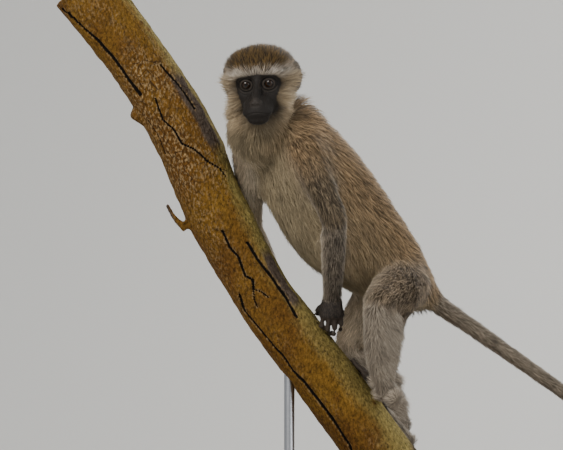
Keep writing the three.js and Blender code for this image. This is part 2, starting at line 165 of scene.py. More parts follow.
# %% Soft studio light
LIGHTS = {  # place, aim, size, watts, colour
    "key": ((-1.7, -2.4, 2.7), (0.0, 0.0, 0.42), 1.8, 95, (1.0, 0.975, 0.94)),
    "fill": ((2.6, -2.2, 1.4), (0.0, 0.0, 0.40), 2.4, 34, (0.93, 0.96, 1.0)),
    "rim": ((1.5, 1.9, 2.2), (0.0, 0.0, 0.42), 1.4, 60, (1.0, 0.98, 0.95)),
}
for light_name, (place, aim, size, watts, colour) in LIGHTS.items():
    light_data = bpy.data.lights.new(light_name, "AREA")
    light_data.shape = "DISK"
    light_data.size = size
    light_data.energy = watts
    light_data.color = colour
    light = bpy.data.objects.new(light_name, light_data)
    light.location = place
    light.rotation_euler = (Vector(aim) - Vector(place)).to_track_quat("-Z", "Y").to_euler()
    bpy.context.scene.collection.objects.link(light)

world = bpy.data.worlds.new("studio")
world.use_nodes = True
fill(world.node_tree.nodes["Background"], {"Color": (0.9, 0.95, 1.0, 1), "Strength": 0.42})
bpy.context.scene.world = world
print("lights:", len(LIGHTS))

# %% [markdown]
# ## One skin from many solids
# The solids of flesh are copied, welded and swollen a little so that they overlap, and a voxel
# remesh melts them into one closed surface without seams. Joining them by booleans would keep
# every crease. The remesh is fine enough for fingers, and the broad parts are thinned out
# afterwards, because only the face, hands and feet need small faces.

# %% Which solids are flesh
flesh_names = sorted(n for n in nodes if not n.startswith(("stand_", "eye_", "branch")))
FINE_PARTS = ("hand_left", "hand_right", "foot_left", "foot_right", "ear_left", "ear_right")
SWELL = 0.45 * MM
DIGIT_SHRINK = -0.3 * MM  # keeps the digits apart
VOXEL = 1.3 * MM
print("flesh:", len(flesh_names))


# %% Copies of nodes, welded
def welded_copy(name, swell=0.0):
    """A bmesh of a node with its doubles merged, pushed outward by swell."""
    bm = bmesh.new()
    bm.from_mesh(nodes[name].data)
    bmesh.ops.remove_doubles(bm, verts=bm.verts, dist=1e-6)
    bm.normal_update()
    for v in bm.verts:
        v.co += v.normal * swell
    return bm


def apply_modifiers(obj):
    """Replace an object's mesh by what its modifiers make of it."""
    depsgraph = bpy.context.evaluated_depsgraph_get()
    made = bpy.data.meshes.new_from_object(obj.evaluated_get(depsgraph))
    obj.modifiers.clear()
    old, obj.data = obj.data, made
    bpy.data.meshes.remove(old)


def rows_of(items, key, width, kind=np.float32):
    """A column of Blender data, such as corner places, as rows of numbers."""
    flat = np.empty(len(items) * width, kind)
    items.foreach_get(key, flat)
    return flat.reshape(-1, width)


def points_of(mesh):
    return rows_of(mesh.vertices, "co", 3).astype(float)


def place_vertices(mesh, points):
    mesh.vertices.foreach_set("co", points.astype(np.float32).ravel())


def split_where(obj, chosen):
    """Halve every edge whose two ends are chosen."""
    bm = bmesh.new()
    bm.from_mesh(obj.data)
    edges = [e for e in bm.edges if all(chosen[v.index] for v in e.verts)]
    bmesh.ops.subdivide_edges(bm, edges=edges, cuts=1, use_grid_fill=True)
    bmesh.ops.triangulate(bm, faces=[f for f in bm.faces if len(f.verts) > 4])
    bm.to_mesh(obj.data)
    bm.free()


def unit(v):
    """Vectors scaled to length one, one by one or in rows."""
    v = np.asarray(v, float)
    return v / np.maximum(np.linalg.norm(v, axis=-1, keepdims=True), 1e-12)


# %% [markdown]
# The head has a frame of its own: forward, left and up, measured in millimetres from the point
# between the eyes. It is worked out from where the eyes and ears are, so it turns with the head.

# %% The head's own frame
EARS_BEHIND_EYES = 32.0
EARS_ABOVE_EYES = 8.0


def corners_of(name):
    """The low and high corner of a node's box."""
    return (np.array(c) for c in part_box(name))


def centre_of(name):
    low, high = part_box(name)
    return np.array((low + high) / 2)


eye_centre = {side: centre_of("eye_" + side) for side in ("left", "right")}
eye_middle = (eye_centre["left"] + eye_centre["right"]) / 2
ear_middle = (centre_of("ear_left") + centre_of("ear_right")) / 2
head_left = unit(eye_centre["left"] - eye_centre["right"])
ears_to_eyes = eye_middle - ear_middle
ears_to_eyes = unit(ears_to_eyes - head_left * (ears_to_eyes @ head_left))
nod = math.atan2(EARS_ABOVE_EYES, EARS_BEHIND_EYES)
head_forward = math.cos(nod) * ears_to_eyes + math.sin(nod) * np.cross(ears_to_eyes, head_left)
head_up = np.cross(head_forward, head_left)
HEAD_TILT = math.radians(3.2)  # the head leans a little to its right
head_left, head_up = (
    math.cos(HEAD_TILT) * head_left + math.sin(HEAD_TILT) * head_up,
    math.cos(HEAD_TILT) * head_up - math.sin(HEAD_TILT) * head_left,
)
eye_middle[2] -= 1.5 * MM
HEAD_AXES = np.array([head_forward, head_left, head_up])
EYE_RADIUS = float(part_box("eye_left")[1].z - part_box("eye_left")[0].z) / 2 / MM
EYE_SIDE = float((eye_centre["left"] - eye_middle) @ head_left) / MM
print("gaze:", head_forward.round(3), "eye radius:", round(EYE_RADIUS, 2), "side:", round(EYE_SIDE, 2))


def to_head(points):
    """World metres to head millimetres: forward, left, up."""
    return (points - eye_middle) @ HEAD_AXES.T / MM


def from_head(local):
    return np.asarray(local, float) * MM @ HEAD_AXES + eye_middle


# %% [markdown]
# ## The form of the head
# Under its hair a monkey's head is much smaller than it looks. It is laid out here as a table
# of rounded bodies, bone by bone and muscle by muscle, on the left half or in the middle. The
# same table is used twice: its balls are melted together with the other solids, and later its
# soft distance tells the skin where to lie.

# %% Bones and muscles, in head millimetres
# name: ((place), (radii), softness of the join) for a ball
BALLS = {
    "cranium": ((-29, 0, 2), (36.5, 35.5, 38.5), 1),
    "temple": ((-25, 17, 14), (27, 22, 22), 8),
    "jaw_root": ((-12, 0, -20), (27, 27, 21), 10),
    "cheek": ((-3, 19, -13), (11, 11, 13), 6),
    "muzzle": ((15, 0, -27.5), (22, 18.5, 15.5), 7),
    "philtrum": ((25, 0, -27), (14, 11, 7.5), 4),
    "lips": ((27, 0, -33), (15, 18.5, 10), 4),
    "chin": ((24, 0, -41.5), (14, 13.5, 7.8), 3),
    "lid": ((0, EYE_SIDE, 0), (EYE_RADIUS + 1.3,) * 3, 2.2),
}
# name: ((start), (end), first radius, last radius, softness) for a rod
RODS = {
    "brow_inner": ((5.5, 0, 10.0), (6.5, 10, 13.0), 5.4, 5.2, 4),
    "brow_middle": ((6.5, 10, 13.0), (1.5, 23, 11.0), 5.2, 4.8, 3),
    "brow_outer": ((1.5, 23, 11.0), (-9, 28, 1), 4.8, 3.4, 6),
    "nose_bridge": ((6, 0, 6), (20, 0, -8.5), 4.8, 4.2, 5),
    "nose_tip": ((20, 0, -8.5), (36.5, 0, -19), 4.2, 4.2, 4),
    "nose_wing": ((38.8, 3.0, -21.6), (33.5, 6.0, -21), 2.4, 2.2, 2),
}
EAR_PLACE = np.array([-32.0, 43.0, 4.0])
EAR_RADII = (13.5, 3.3, 19.5)
EAR_BACKWARD = np.array([-0.952, 0.305, 0.0])
EAR_OUTWARD = np.array([0.305, 0.952, 0.0])
EAR_ROOT = ((-25, 35, 1), (7, 7, 11))
EAR_HOLLOW = ((-0.5, 3.6, -1), (9.0, 3.0, 14.5))  # backward, outward, up
EYE_SLIT = ((12, EYE_SIDE, 0), (7, 7.1, 5.3))
NOSTRIL = ((41.8, 3.2, -22.8), (4.2, 1.5, 1.8))


# %% Balls for the melt
def ball(bm, radius, matrix, around=28, up=18):
    return bmesh.ops.create_uvsphere(
        bm, u_segments=around, v_segments=up, radius=radius, matrix=matrix
    )["verts"]


def head_ball(bm, place, radii, axes=((1, 0, 0), (0, 1, 0), (0, 0, 1))):
    """A ball stretched along its own axes, in head millimetres, on both sides."""
    for mirror in (1, -1) if place[1] else (1,):
        flip = np.array([1, mirror, 1])
        columns = [from_head(np.array(axis) * flip * r) - eye_middle for axis, r in zip(axes, radii)]
        matrix = Matrix(np.array(columns).T.tolist()).to_4x4()
        matrix.translation = from_head(np.array(place) * flip)
        verts = ball(bm, 1, matrix)
        if matrix.determinant() < 0:
            faces = {f for v in verts for f in v.link_faces}
            bmesh.ops.reverse_faces(bm, faces=list(faces))


def head_balls(bm):
    for place, radii, _ in BALLS.values():
        head_ball(bm, place, radii)
    for start, end, first, last, _ in RODS.values():
        for share in np.linspace(0, 1, 6):
            place = np.array(start) + share * (np.array(end) - np.array(start))
            head_ball(bm, place, (first + share * (last - first),) * 3)
    head_ball(bm, EAR_PLACE, EAR_RADII, (EAR_BACKWARD, EAR_OUTWARD, (0, 0, 1)))
    head_ball(bm, *EAR_ROOT)


# %% A neck between the head and the trunk
NECK_TOP = (-23, 0, -6)
NECK_RADII = (28, 37)  # millimetres, under the head and at the chest


def neck_balls(bm):
    neck_low = points_of(nodes["neck"].data)
    chest = neck_low[np.argsort(neck_low[:, 2])[: len(neck_low) // 4]].mean(0)
    for share in np.linspace(0, 1, 9):
        radius = (NECK_RADII[0] + share * (NECK_RADII[1] - NECK_RADII[0])) * MM
        ball(bm, radius, Matrix.Translation(from_head(NECK_TOP) * (1 - share) + chest * share))


# %% [markdown]
# ## A skeleton read from the solids
# Two neighbouring solids meet round a joint, so the joint is the middle of the corners where
# they come closest. The chain of joints gives each limb an axis, and along it the hair lies.

# %% Joints between neighbours
node_points = {name: points_of(nodes[name].data) for name in flesh_names}


def joint_between(a, b, share=0.12):
    """The middle of the corners of both solids that are nearest to the other solid."""
    pa, pb = node_points[a], node_points[b]
    gaps = np.linalg.norm(pa[:, None] - pb[None], axis=2)
    near_a = pa[np.argsort(gaps.min(1))[: max(4, int(len(pa) * share))]]
    near_b = pb[np.argsort(gaps.min(0))[: max(4, int(len(pb) * share))]]
    return (near_a.mean(0) + near_b.mean(0)) / 2


joints = {"neck": joint_between("head", "neck"), "tail_0": joint_between("trunk", "tail_1")}
for side in ("left", "right"):
    for joint, (a, b) in {
        "shoulder": ("trunk", "upper_arm_"), "elbow": ("upper_arm_", "forearm_"),
        "wrist": ("forearm_", "hand_"), "hip": ("trunk", "thigh_"),
        "knee": ("thigh_", "shank_"), "ankle": ("shank_", "foot_"),
    }.items():
        first = a if a == "trunk" else a + side
        joints[f"{joint}_{side}"] = joint_between(first, b + side)
for k in (1, 2, 3):
    joints[f"tail_{k}"] = joint_between(f"tail_{k}", f"tail_{k + 1}", 0.2)
print("joints:", len(joints))

# %% Muscle under the hanging hair of the legs
# Each row: share of the way from knee to hip, share from knee to ankle, radius in millimetres.
CALF_AND_HAM = ((0.62, 0.14, 21), (0.44, 0.20, 22), (0.34, 0.38, 18), (0.24, 0.58, 13), (0.14, 0.80, 9))


def leg_balls(bm):
    for side in ("left", "right"):
        knee, hip, ankle = (joints[f"{joint}_{side}"] for joint in ("knee", "hip", "ankle"))
        for to_hip, to_ankle, radius in CALF_AND_HAM:
            place = knee + to_hip * (hip - knee) + to_ankle * (ankle - knee)
            ball(bm, radius * MM, Matrix.Translation(place), 24, 16)


# %% Melt the solids into one surface
all_flesh = bmesh.new()
head_balls(all_flesh)
neck_balls(all_flesh)
leg_balls(all_flesh)
for name in [n for n in flesh_names if n not in ("head", "neck", "ear_left", "ear_right")]:
    part = welded_copy(name, DIGIT_SHRINK if name in FINE_PARTS else SWELL)
    part_mesh = bpy.data.meshes.new(name + "_copy")
    part.to_mesh(part_mesh)
    part.free()
    all_flesh.from_mesh(part_mesh)
    bpy.data.meshes.remove(part_mesh)
skin = add_object("skin", all_flesh)
melt = skin.modifiers.new("melt", "REMESH")
melt.mode = "VOXEL"
melt.voxel_size = VOXEL
apply_modifiers(skin)
print("melted:", len(skin.data.vertices), "vertices")

# %% Thin out the broad parts
BODY_KEEP = 0.235


def in_face(points):
    """The front of the head, where the bare face is."""
    forward, left, up = to_head(points).T
    return (forward > -3) & (np.abs(left) < 27) & (up > -46) & (up < 17)


points = points_of(skin.data)
fine = in_face(points)
for name in FINE_PARTS:
    low, high = corners_of(name)
    fine |= np.all((points > low - 1.5 * MM) & (points < high + 1.5 * MM), axis=1)
broad = skin.vertex_groups.new(name="broad")
broad.add(np.flatnonzero(~fine).tolist(), 1.0, "REPLACE")
thin = skin.modifiers.new("thin", "DECIMATE")
thin.ratio = BODY_KEEP
thin.vertex_group = "broad"
thin.vertex_group_factor = 1000.0
apply_modifiers(skin)
skin.vertex_groups.clear()
print("fine:", int(fine.sum()), "thinned:", len(skin.data.vertices), triangle_count(skin), "triangles")

# %% Split the edges of the face once more
split_where(skin, in_face(points_of(skin.data)))
print("face split:", triangle_count(skin), "triangles")

# %% [markdown]
# ## Where each patch of skin belongs
# Coat length, lie and colour all depend on the part of the body. Each vertex of the skin takes
# the name of the solid that is nearest to it. The solids' corners are far apart, so points are
# spread over their faces first, and a k-d tree finds the nearest one.

# %% Name every vertex of the skin
SAMPLE_GAP = 5 * MM


def surface_samples(mesh):
    """Points spread over every triangle of a mesh, no further apart than the gap."""
    corners = points_of(mesh)[triangles_of(mesh)]
    longest = np.linalg.norm(corners - np.roll(corners, 1, axis=1), axis=2).max(1)
    found = [corners.mean(1)]
    for parts in range(1, 1 + math.ceil(longest.max() / SAMPLE_GAP)):
        some = corners[np.ceil(longest / SAMPLE_GAP) == parts]
        for i in range(parts + 1):
            for j in range(parts + 1 - i):
                weights = np.array([i, j, parts - i - j]) / parts
                found.append(np.einsum("k,nkc->nc", weights, some))
    return np.concatenate(found)


def triangles_of(mesh):
    mesh.calc_loop_triangles()
    return rows_of(mesh.loop_triangles, "vertices", 3, np.int32)


samples = [surface_samples(nodes[name].data) for name in flesh_names]
sample_part = np.repeat(np.arange(len(samples)), [len(s) for s in samples])
all_samples = np.concatenate(samples)
tree = kdtree.KDTree(len(all_samples))
for i, point in enumerate(all_samples):
    tree.insert(point, i)
tree.balance()
skin_points = points_of(skin.data)
label = sample_part[[tree.find(p)[1] for p in skin_points]]
is_part = {name: label == i for i, name in enumerate(flesh_names)}
print("samples:", len(all_samples))


# %% Neighbours, normals and smoothing on the skin
skin_edges = rows_of(skin.data.edges, "vertices", 2, np.int32)
skin_tris = triangles_of(skin.data)
COUNT = len(skin_points)
valence = np.bincount(skin_edges.ravel(), minlength=COUNT).astype(float)


def neighbour_mean(values):
    """The mean of each vertex's neighbours, for an array of one or more columns."""
    columns = values.reshape(COUNT, -1)
    a, b = skin_edges.T
    out = np.empty_like(columns)
    for k in range(columns.shape[1]):
        total = np.bincount(a, columns[b, k], COUNT) + np.bincount(b, columns[a, k], COUNT)
        out[:, k] = total / valence
    return out.reshape(values.shape)


def smoothed(values, passes, share=0.5):
    for _ in range(passes):
        values = values + share * (neighbour_mean(values) - values)
    return values


def vertex_normals(points):
    a, b, c = (points[skin_tris[:, k]] for k in range(3))
    flat = np.cross(b - a, c - a)
    out = np.zeros_like(points)
    for k in range(3):
        for axis in range(3):
            out[:, axis] += np.bincount(skin_tris[:, k], flat[:, axis], COUNT)
    return unit(out)

# %% [markdown]
# ## The head
# The head is sculpted by formula. Each muscle and bone is a rounded body, and the distance to
# the nearest of them, blended softly, says how far a vertex is from the wished surface. The
# vertices walk down that distance until they lie on it. Adding and carving bodies is as direct
# as working in clay, and each one has its own name and size.


# %% Distance to rounded bodies
def ellipsoid(p, centre, radii):
    q = p - centre
    near = np.linalg.norm(q / radii, axis=1)
    far = np.linalg.norm(q / np.square(radii), axis=1)
    return near * (near - 1) / np.maximum(far, 1e-6)


def rod_between(p, a, b, radius_a, radius_b):
    a, b = np.array(a, float), np.array(b, float)
    share = np.clip((p - a) @ (b - a) / ((b - a) @ (b - a)), 0, 1)
    gap = np.linalg.norm(p - (a + share[:, None] * (b - a)), axis=1)
    return gap - (radius_a + (radius_b - radius_a) * share)


def soft_join(d1, d2, soft):
    mix = np.clip(0.5 + 0.5 * (d2 - d1) / soft, 0, 1)
    return d2 + (d1 - d2) * mix - soft * mix * (1 - mix)


def soft_carve(d1, d2, soft):
    """Body d1 with body d2 taken away."""
    return -soft_join(-d1, d2, soft)


# %% The distance to the whole head
def ear_distance(q):
    """A thin leaf beside the head, hollow on its outer side, on a soft root."""
    e = q - EAR_PLACE
    leaf = np.stack([e @ EAR_BACKWARD, e @ EAR_OUTWARD, e[:, 2]], 1)
    d = ellipsoid(leaf, (0, 0, 0), EAR_RADII)
    d = soft_carve(d, ellipsoid(leaf, *EAR_HOLLOW), 1.2)
    return soft_join(d, ellipsoid(q, *EAR_ROOT), 4)


def creases(q):
    """Depth of the folds: round the lids, under the eyes, beside the nose and the mouth."""
    forward, side, up = q.T
    in_front = np.clip(forward / 3, 0, 1)
    ring = np.hypot(side - EYE_SIDE, up * 1.12)
    fold = 0.55 * np.exp(-np.square((ring - 9.6) / 0.75)) * in_front
    low_ring = np.hypot(side - EYE_SIDE, up - 1)
    fold += 0.45 * np.exp(-np.square((low_ring - 13) / 0.9)) * in_front * np.clip(-up / 5, 0, 1)
    nose_gap = side - 5.5 - 0.28 * (-up - 4)
    beside = np.clip(np.minimum(-up - 6, up + 29) / 4, 0, 1)
    fold += 0.5 * np.exp(-np.square(nose_gap / 1.1)) * beside * in_front
    mouth = up + 32.5 + 0.018 * np.square(side)
    lips = np.clip((21 - side) / 5, 0, 1) * np.clip((forward - 8) / 6, 0, 1)
    fold += 1.0 * np.exp(-np.square(mouth / 0.75)) * lips
    groove = np.exp(-np.square(side / 0.8)) * np.clip(np.minimum(-up - 24, up + 31) / 2, 0, 1)
    return fold + 0.5 * groove * lips


def head_distance(p):
    """Distance to the head's surface. Both halves are alike, so only one is measured."""
    q = p.copy()
    q[:, 1] = np.sqrt(np.square(q[:, 1]) + 0.01)
    d = np.full(len(q), 60.0)
    for name, (place, radii, soft) in BALLS.items():
        if name != "lid":
            d = soft_join(d, ellipsoid(q, place, radii), soft)
    for name, (start, end, first, last, soft) in RODS.items():
        d = soft_join(d, rod_between(q, start, end, first, last), soft)
    place, radii, soft = BALLS["lid"]
    d = soft_join(d, np.linalg.norm(q - place, axis=1) - radii[0], soft)
    slit = q - EYE_SLIT[0]
    slit[:, 2] -= 0.10 * slit[:, 1]
    d = soft_carve(d, ellipsoid(slit, (0, 0, 0), EYE_SLIT[1]), 0.7)
    d = soft_carve(d, ellipsoid(q, *NOSTRIL), 0.9)
    d = d + creases(q)
    return soft_join(d, ear_distance(q), 2.5)


def walk_to_surface(points, weight, passes, relax):
    """Move points onto the head's surface, and even them out between the steps."""
    chosen = np.flatnonzero(weight > 0.01)
    h = 0.25
    for _ in range(passes):
        evened = neighbour_mean(points)[chosen] - points[chosen]
        spot = points[chosen] + relax * weight[chosen, None] * evened
        local = to_head(spot)
        d = head_distance(local)
        slope = np.stack([(head_distance(local + h * axis) - d) / h for axis in np.eye(3)], 1)
        size = np.maximum(np.sum(slope**2, axis=1), 0.25)
        move = np.clip(-d / size, -4, 4)[:, None] * slope * weight[chosen, None]
        points = points.copy()
        points[chosen] = spot + move * MM @ HEAD_AXES
    return points


# %% [markdown]
# ## The skin under the coat
# The solids reach to the tips of the hair, so the skin is drawn inward by the depth of the coat:
# deep on the neck and trunk, thin on the forearms and the tail, nothing on the palms. It moves
# in small steps along its normals and is smoothed after each, which keeps it from folding.

# %% Coat depth over the body
# For each kind of part: depth of the coat, then length, height and spacing of its locks, in
# millimetres. Length and height are the longest; each lock gets its own share of them.
COAT = {
    "face": (0.0, 2.0, 0.7, 1.05), "crown": (0.0, 12.0, 9.3, 1.12), "cheek": (0.0, 20.0, 14.0, 1.22),
    "head": (9.0, 18.0, 8.0, 1.5), "ear": (0.4, 4.0, 1.5, 1.7), "neck": (11.0, 19.0, 7.0, 1.5),
    "trunk": (8.0, 23.0, 7.5, 1.58), "upper_arm": (4.5, 15.0, 5.5, 1.5),
    "forearm": (3.8, 12.0, 4.6, 1.4), "hand": (0.0, 4.5, 1.0, 1.35), "thigh": (6.0, 15.0, 5.6, 1.5),
    "shank": (4.5, 13.0, 5.0, 1.5), "foot": (0.0, 3.5, 0.9, 1.4), "tail_1": (4.4, 14.0, 4.2, 1.5),
    "tail": (3.4, 11.0, 3.2, 1.35),
}
DEPTH, LENGTH, HEIGHT, SPACING = range(4)


def kind_of(name):
    """A part's name without its side or number."""
    if name == "tail_1":
        return name
    return name.replace("_left", "").replace("_right", "").rstrip("_234")


def by_kind(column):
    """A column of the coat's table, for each vertex."""
    return np.array([COAT[kind_of(name)][column] for name in flesh_names])[label]


HEAD_REACH = 3.0  # millimetres from the head's form that still count as head
head_gap = np.abs(head_distance(to_head(skin_points)))
on_head = ((head_gap < HEAD_REACH) | in_face(skin_points)) & ~is_part["trunk"]
head_weight = smoothed(on_head.astype(float), 6)
bare_form = on_head | is_part["neck"] | is_part["head"]  # laid out without hair already
coat_depth = smoothed(np.where(bare_form, 0.0, by_kind(DEPTH)), 20)
calf_side = {}
for side in ("left", "right"):
    knee, ankle, hip = (joints[f"{j}_{side}"] for j in ("knee", "ankle", "hip"))
    along = unit(ankle - knee)
    calf_side[side] = unit((hip - knee) - along * ((hip - knee) @ along))

# %% Draw the skin inward
SINK_STEPS = 8
for _ in range(SINK_STEPS):
    inward = -vertex_normals(skin_points) * (coat_depth / SINK_STEPS)[:, None] * MM
    skin_points = skin_points + smoothed(inward, 2)
    relax = np.clip(coat_depth / 6, 0, 1)[:, None] * 0.5
    skin_points += relax * (neighbour_mean(skin_points) - skin_points)
print("sunk by", coat_depth.min().round(1), "to", coat_depth.max().round(1), "mm")

# %% Soften the shoulders and hips
# Loose skin and fur hide where a limb leaves the trunk, so the skin is evened out there.
LOOSE_SKIN_PASSES = 110
near_joint = np.zeros(COUNT)
for side in ("left", "right"):
    for joint, size in (("shoulder", 30), ("hip", 34)):
        gap = np.linalg.norm(skin_points - joints[f"{joint}_{side}"], axis=1) / (size * MM)
        near_joint = np.maximum(near_joint, np.clip(1.7 - gap, 0, 1))
near_joint = (near_joint * (1 - head_weight))[:, None]
for _ in range(LOOSE_SKIN_PASSES):
    skin_points = skin_points + 0.5 * near_joint * (neighbour_mean(skin_points) - skin_points)

# %% Lay the skin on the head's form
skin_points = smoothed(skin_points, 2)
skin_points = walk_to_surface(skin_points, head_weight, 8, 0.4)
skin_points = walk_to_surface(skin_points, head_weight, 3, 0.1)
place_vertices(skin.data, skin_points)
skin.data.update()
print("head distance left:", np.abs(head_distance(to_head(skin_points[on_head]))).mean().round(2))

# %% [markdown]
# ## The lie, length and colour of the coat
# A coat is a set of fields over the skin: which way the hair lies, how long it is, how far it
# stands off, how close the locks are and what colour they have. Each field is first laid down
# part by part, from the joints and the head's own frame, and then smoothed over the skin so
# that no border between two solids shows.

# %% The lie of the coat
def noise_at(points):
    return np.array([noise.noise(Vector(p)) for p in points])


normals = vertex_normals(skin_points)
on_head = (np.abs(head_distance(to_head(skin_points))) < HEAD_REACH) & ~is_part["trunk"]
local = to_head(skin_points)
ears = ear_distance(np.stack([local[:, 0], np.abs(local[:, 1]), local[:, 2]], 1)) < 0.6
ears &= (local[:, 0] < -19) & (np.abs(local[:, 1]) > 34) & on_head
NECK_BOTTOM = joint_between("neck", "trunk")


def axis_of(name):
    """Start and end of a part's axis; the hair runs from the first to the second."""
    kind, _, side = name.rpartition("_")
    chains = {
        "upper_arm": ("shoulder", "elbow"), "forearm": ("elbow", "wrist"), "thigh": ("hip", "knee"),
        "shank": ("knee", "ankle"),
    }
    if kind in chains:
        return tuple(joints[f"{j}_{side}"] for j in chains[kind])
    if kind in ("hand", "foot"):
        start = joints[("wrist_" if kind == "hand" else "ankle_") + side]
        far = node_points[name]
        reach = np.linalg.norm(far - start, axis=1)
        return start, far[reach > np.quantile(reach, 0.8)].mean(0)
    if kind == "tail":
        k = int(side)
        last = node_points["tail_4"]
        tip = last[np.argmax(last[:, 0])]
        return joints[f"tail_{k - 1}"], joints.get(f"tail_{k}", tip)
    if name == "neck":
        return joints["neck"], NECK_BOTTOM
    return NECK_BOTTOM, joints["tail_0"]


along = np.zeros_like(skin_points)
share = np.zeros(COUNT)  # 0 at the start of a part's axis, 1 at its end
girth_out = np.zeros_like(skin_points)  # away from the part's axis
for name in flesh_names:
    if name == "head" or name.startswith("ear_"):
        continue
    start, end = axis_of(name)
    mine = is_part[name]
    line = end - start
    along[mine] = unit(line)
    share[mine] = (skin_points[mine] - start) @ line / (line @ line)
    girth_out[mine] = unit(skin_points[mine] - start - share[mine, None] * line)
for kind, source in (("upper_arm", joints["neck"]), ("thigh", centre_of("trunk"))):
    for side in ("left", "right"):
        mine = is_part[f"{kind}_{side}"]
        from_body = unit(skin_points[mine] - source)
        low_on_limb = np.clip(share[mine, None] / (0.45 if kind == "upper_arm" else 0.3), 0, 1)
        along[mine] = unit(along[mine] * low_on_limb + from_body * (1 - low_on_limb))
is_head = on_head | is_part["head"] | is_part["ear_left"] | is_part["ear_right"]
from_face = local - (12, 0, -10)
from_face[:, 0] = -0.55 * np.linalg.norm(from_face[:, 1:], axis=1) - 8
crown_share = np.clip((local[:, 2] - 14) / 12, 0, 1)[:, None]
back_share = np.clip((-30 - local[:, 0]) / 20, 0, 1)[:, None]
head_lie = unit(from_face) * (1 - crown_share) + np.array([-1, 0, 0.25]) * crown_share
head_lie = head_lie * (1 - back_share) + np.array([-0.45, 0, -0.9]) * back_share
on_muzzle = np.clip((local[:, 0] - 8) / 8, 0, 1)[:, None]
head_lie = head_lie * (1 - on_muzzle) + unit(local - (48, 0, -20)) * on_muzzle
along[is_head] = (unit(head_lie) @ HEAD_AXES)[is_head]

body_axis = unit(joints["tail_0"] - NECK_BOTTOM)
body_left = unit(np.cross([0, 0, 1], -body_axis))
body_back = unit(np.cross(body_left, -body_axis))
if body_back @ np.array([0, 0, 1.0]) < 0:
    body_back, body_left = -body_back, -body_left
flank = 1 - np.abs(normals @ body_back)
along += np.where(is_part["trunk"], 0.35 * flank, 0)[:, None] * -body_back
for side in ("left", "right"):
    along += np.where(is_part["shank_" + side], 0.45, 0)[:, None] * calf_side[side]
lie = smoothed(along, 40)
lie = unit(lie - normals * np.sum(lie * normals, axis=1)[:, None])
print("body axis:", body_axis.round(2), "back:", body_back.round(2), "ears:", int(ears.sum()))

# %% The black face, its white brow band and the crown
MASK_UP = [-51, -48, -42, -32, -22, -14, -6, 0, 6, 10, 13]  # heights of the black mask
MASK_HALF = [0, 11, 18.5, 23.5, 23, 25, 28, 29.5, 28.5, 24, 0]  # its half width there
F, S, U = local.T
side_way = np.abs(S)
wobble = noise_at(local * 0.35)
mask_edge = np.interp(U, MASK_UP, MASK_HALF) - side_way
mask_edge = np.where(U > 13, -(U - 13) - np.maximum(side_way - 20, 0), mask_edge)
face = np.clip(0.5 + (mask_edge + 1.5 * wobble) / 2.0, 0, 1) * (F > -14) * is_head
brow_line = 13.8 + 0.002 * np.square(side_way) + 1.2 * wobble
crown = np.clip((U - brow_line) / 3, 0, 1)
crown = np.maximum(crown, np.clip((-F - 27) / 14, 0, 1) * np.clip((U + 28) / 16, 0, 1)) * is_head
cheek = np.clip(1 - face - crown, 0, 1) * is_head

part_kind = np.array([kind_of(name) for name in flesh_names])[label]

# %% Back and belly, outer and inner side of the limbs
back = np.where(is_part["trunk"] | is_part["neck"], normals @ body_back, 0)
back = np.clip(0.5 + 1.1 * smoothed(back, 10), 0, 1)
trunk_like = smoothed((is_part["trunk"] | is_part["neck"]).astype(float), 4)
outward = np.zeros(COUNT)
for side, turn in (("left", 1.0), ("right", -1.0)):
    for kind in ("upper_arm_", "forearm_", "thigh_", "shank_"):
        mine = is_part[kind + side]
        outward[mine] = turn * (girth_out[mine] @ body_left)
if joints["hip_left"] @ body_left < joints["hip_right"] @ body_left:
    outward = -outward
print("face:", int(face.sum()), "crown:", int(crown.sum()), "cheek:", int(cheek.sum()))


# %% Length, height and spacing of the locks, in millimetres
def by_part(column, passes):
    """A smooth field from the coat's table; face, crown and cheeks keep their own numbers."""
    on_face, on_crown, on_cheek = (COAT[kind][column] for kind in ("face", "crown", "cheek"))
    raw = np.where(is_head, face * on_face + crown * on_crown + cheek * on_cheek, by_kind(column))
    return smoothed(np.where(ears, COAT["ear"][column], raw), passes)


hair_length, hair_height, spacing = by_part(LENGTH, 7), by_part(HEIGHT, 7), by_part(SPACING, 3)
hair_length *= 1 + 0.25 * smoothed(trunk_like * (1 - back), 4)
heel = (part_kind == "foot") * np.clip((0.42 - share) / 0.12, 0, 1) * ~is_head
heel_hair = smoothed(heel, 2)
hair_length += 7.0 * heel_hair
hair_height += 2.5 * heel_hair
brow_band = smoothed(cheek * np.clip((U - 8) / 4, 0, 1), 2)
hair_length += (8.5 - hair_length) * brow_band
hair_height += (5.0 - hair_height) * brow_band
under_jaw = smoothed(cheek * np.clip((-U - 34) / 12, 0, 1), 4)
hair_length *= 1 - 0.25 * under_jaw
hair_height *= 1 - 0.50 * under_jaw
nape = is_head * np.clip((-F - 38) / 12, 0, 1) + is_part["neck"] * back * ~is_head
nape = np.clip(smoothed(nape + is_part["trunk"] * back * np.clip(1 - share / 0.2, 0, 1), 6), 0, 1)
hair_height += 5.5 * nape
hair_length += 5.0 * nape
hair_height += 2.0 * smoothed(is_part["trunk"] * back, 4)
behind = np.zeros(COUNT)
for side in ("left", "right"):
    mine = is_part["shank_" + side] & (share < 0.8)
    behind[mine] = np.clip(normals[mine] @ calf_side[side], 0, 1)
behind = smoothed(behind, 5)
hair_height += 5.0 * behind
hair_length += 8.0 * behind
print("length:", hair_length.min().round(1), hair_length.max().round(1))

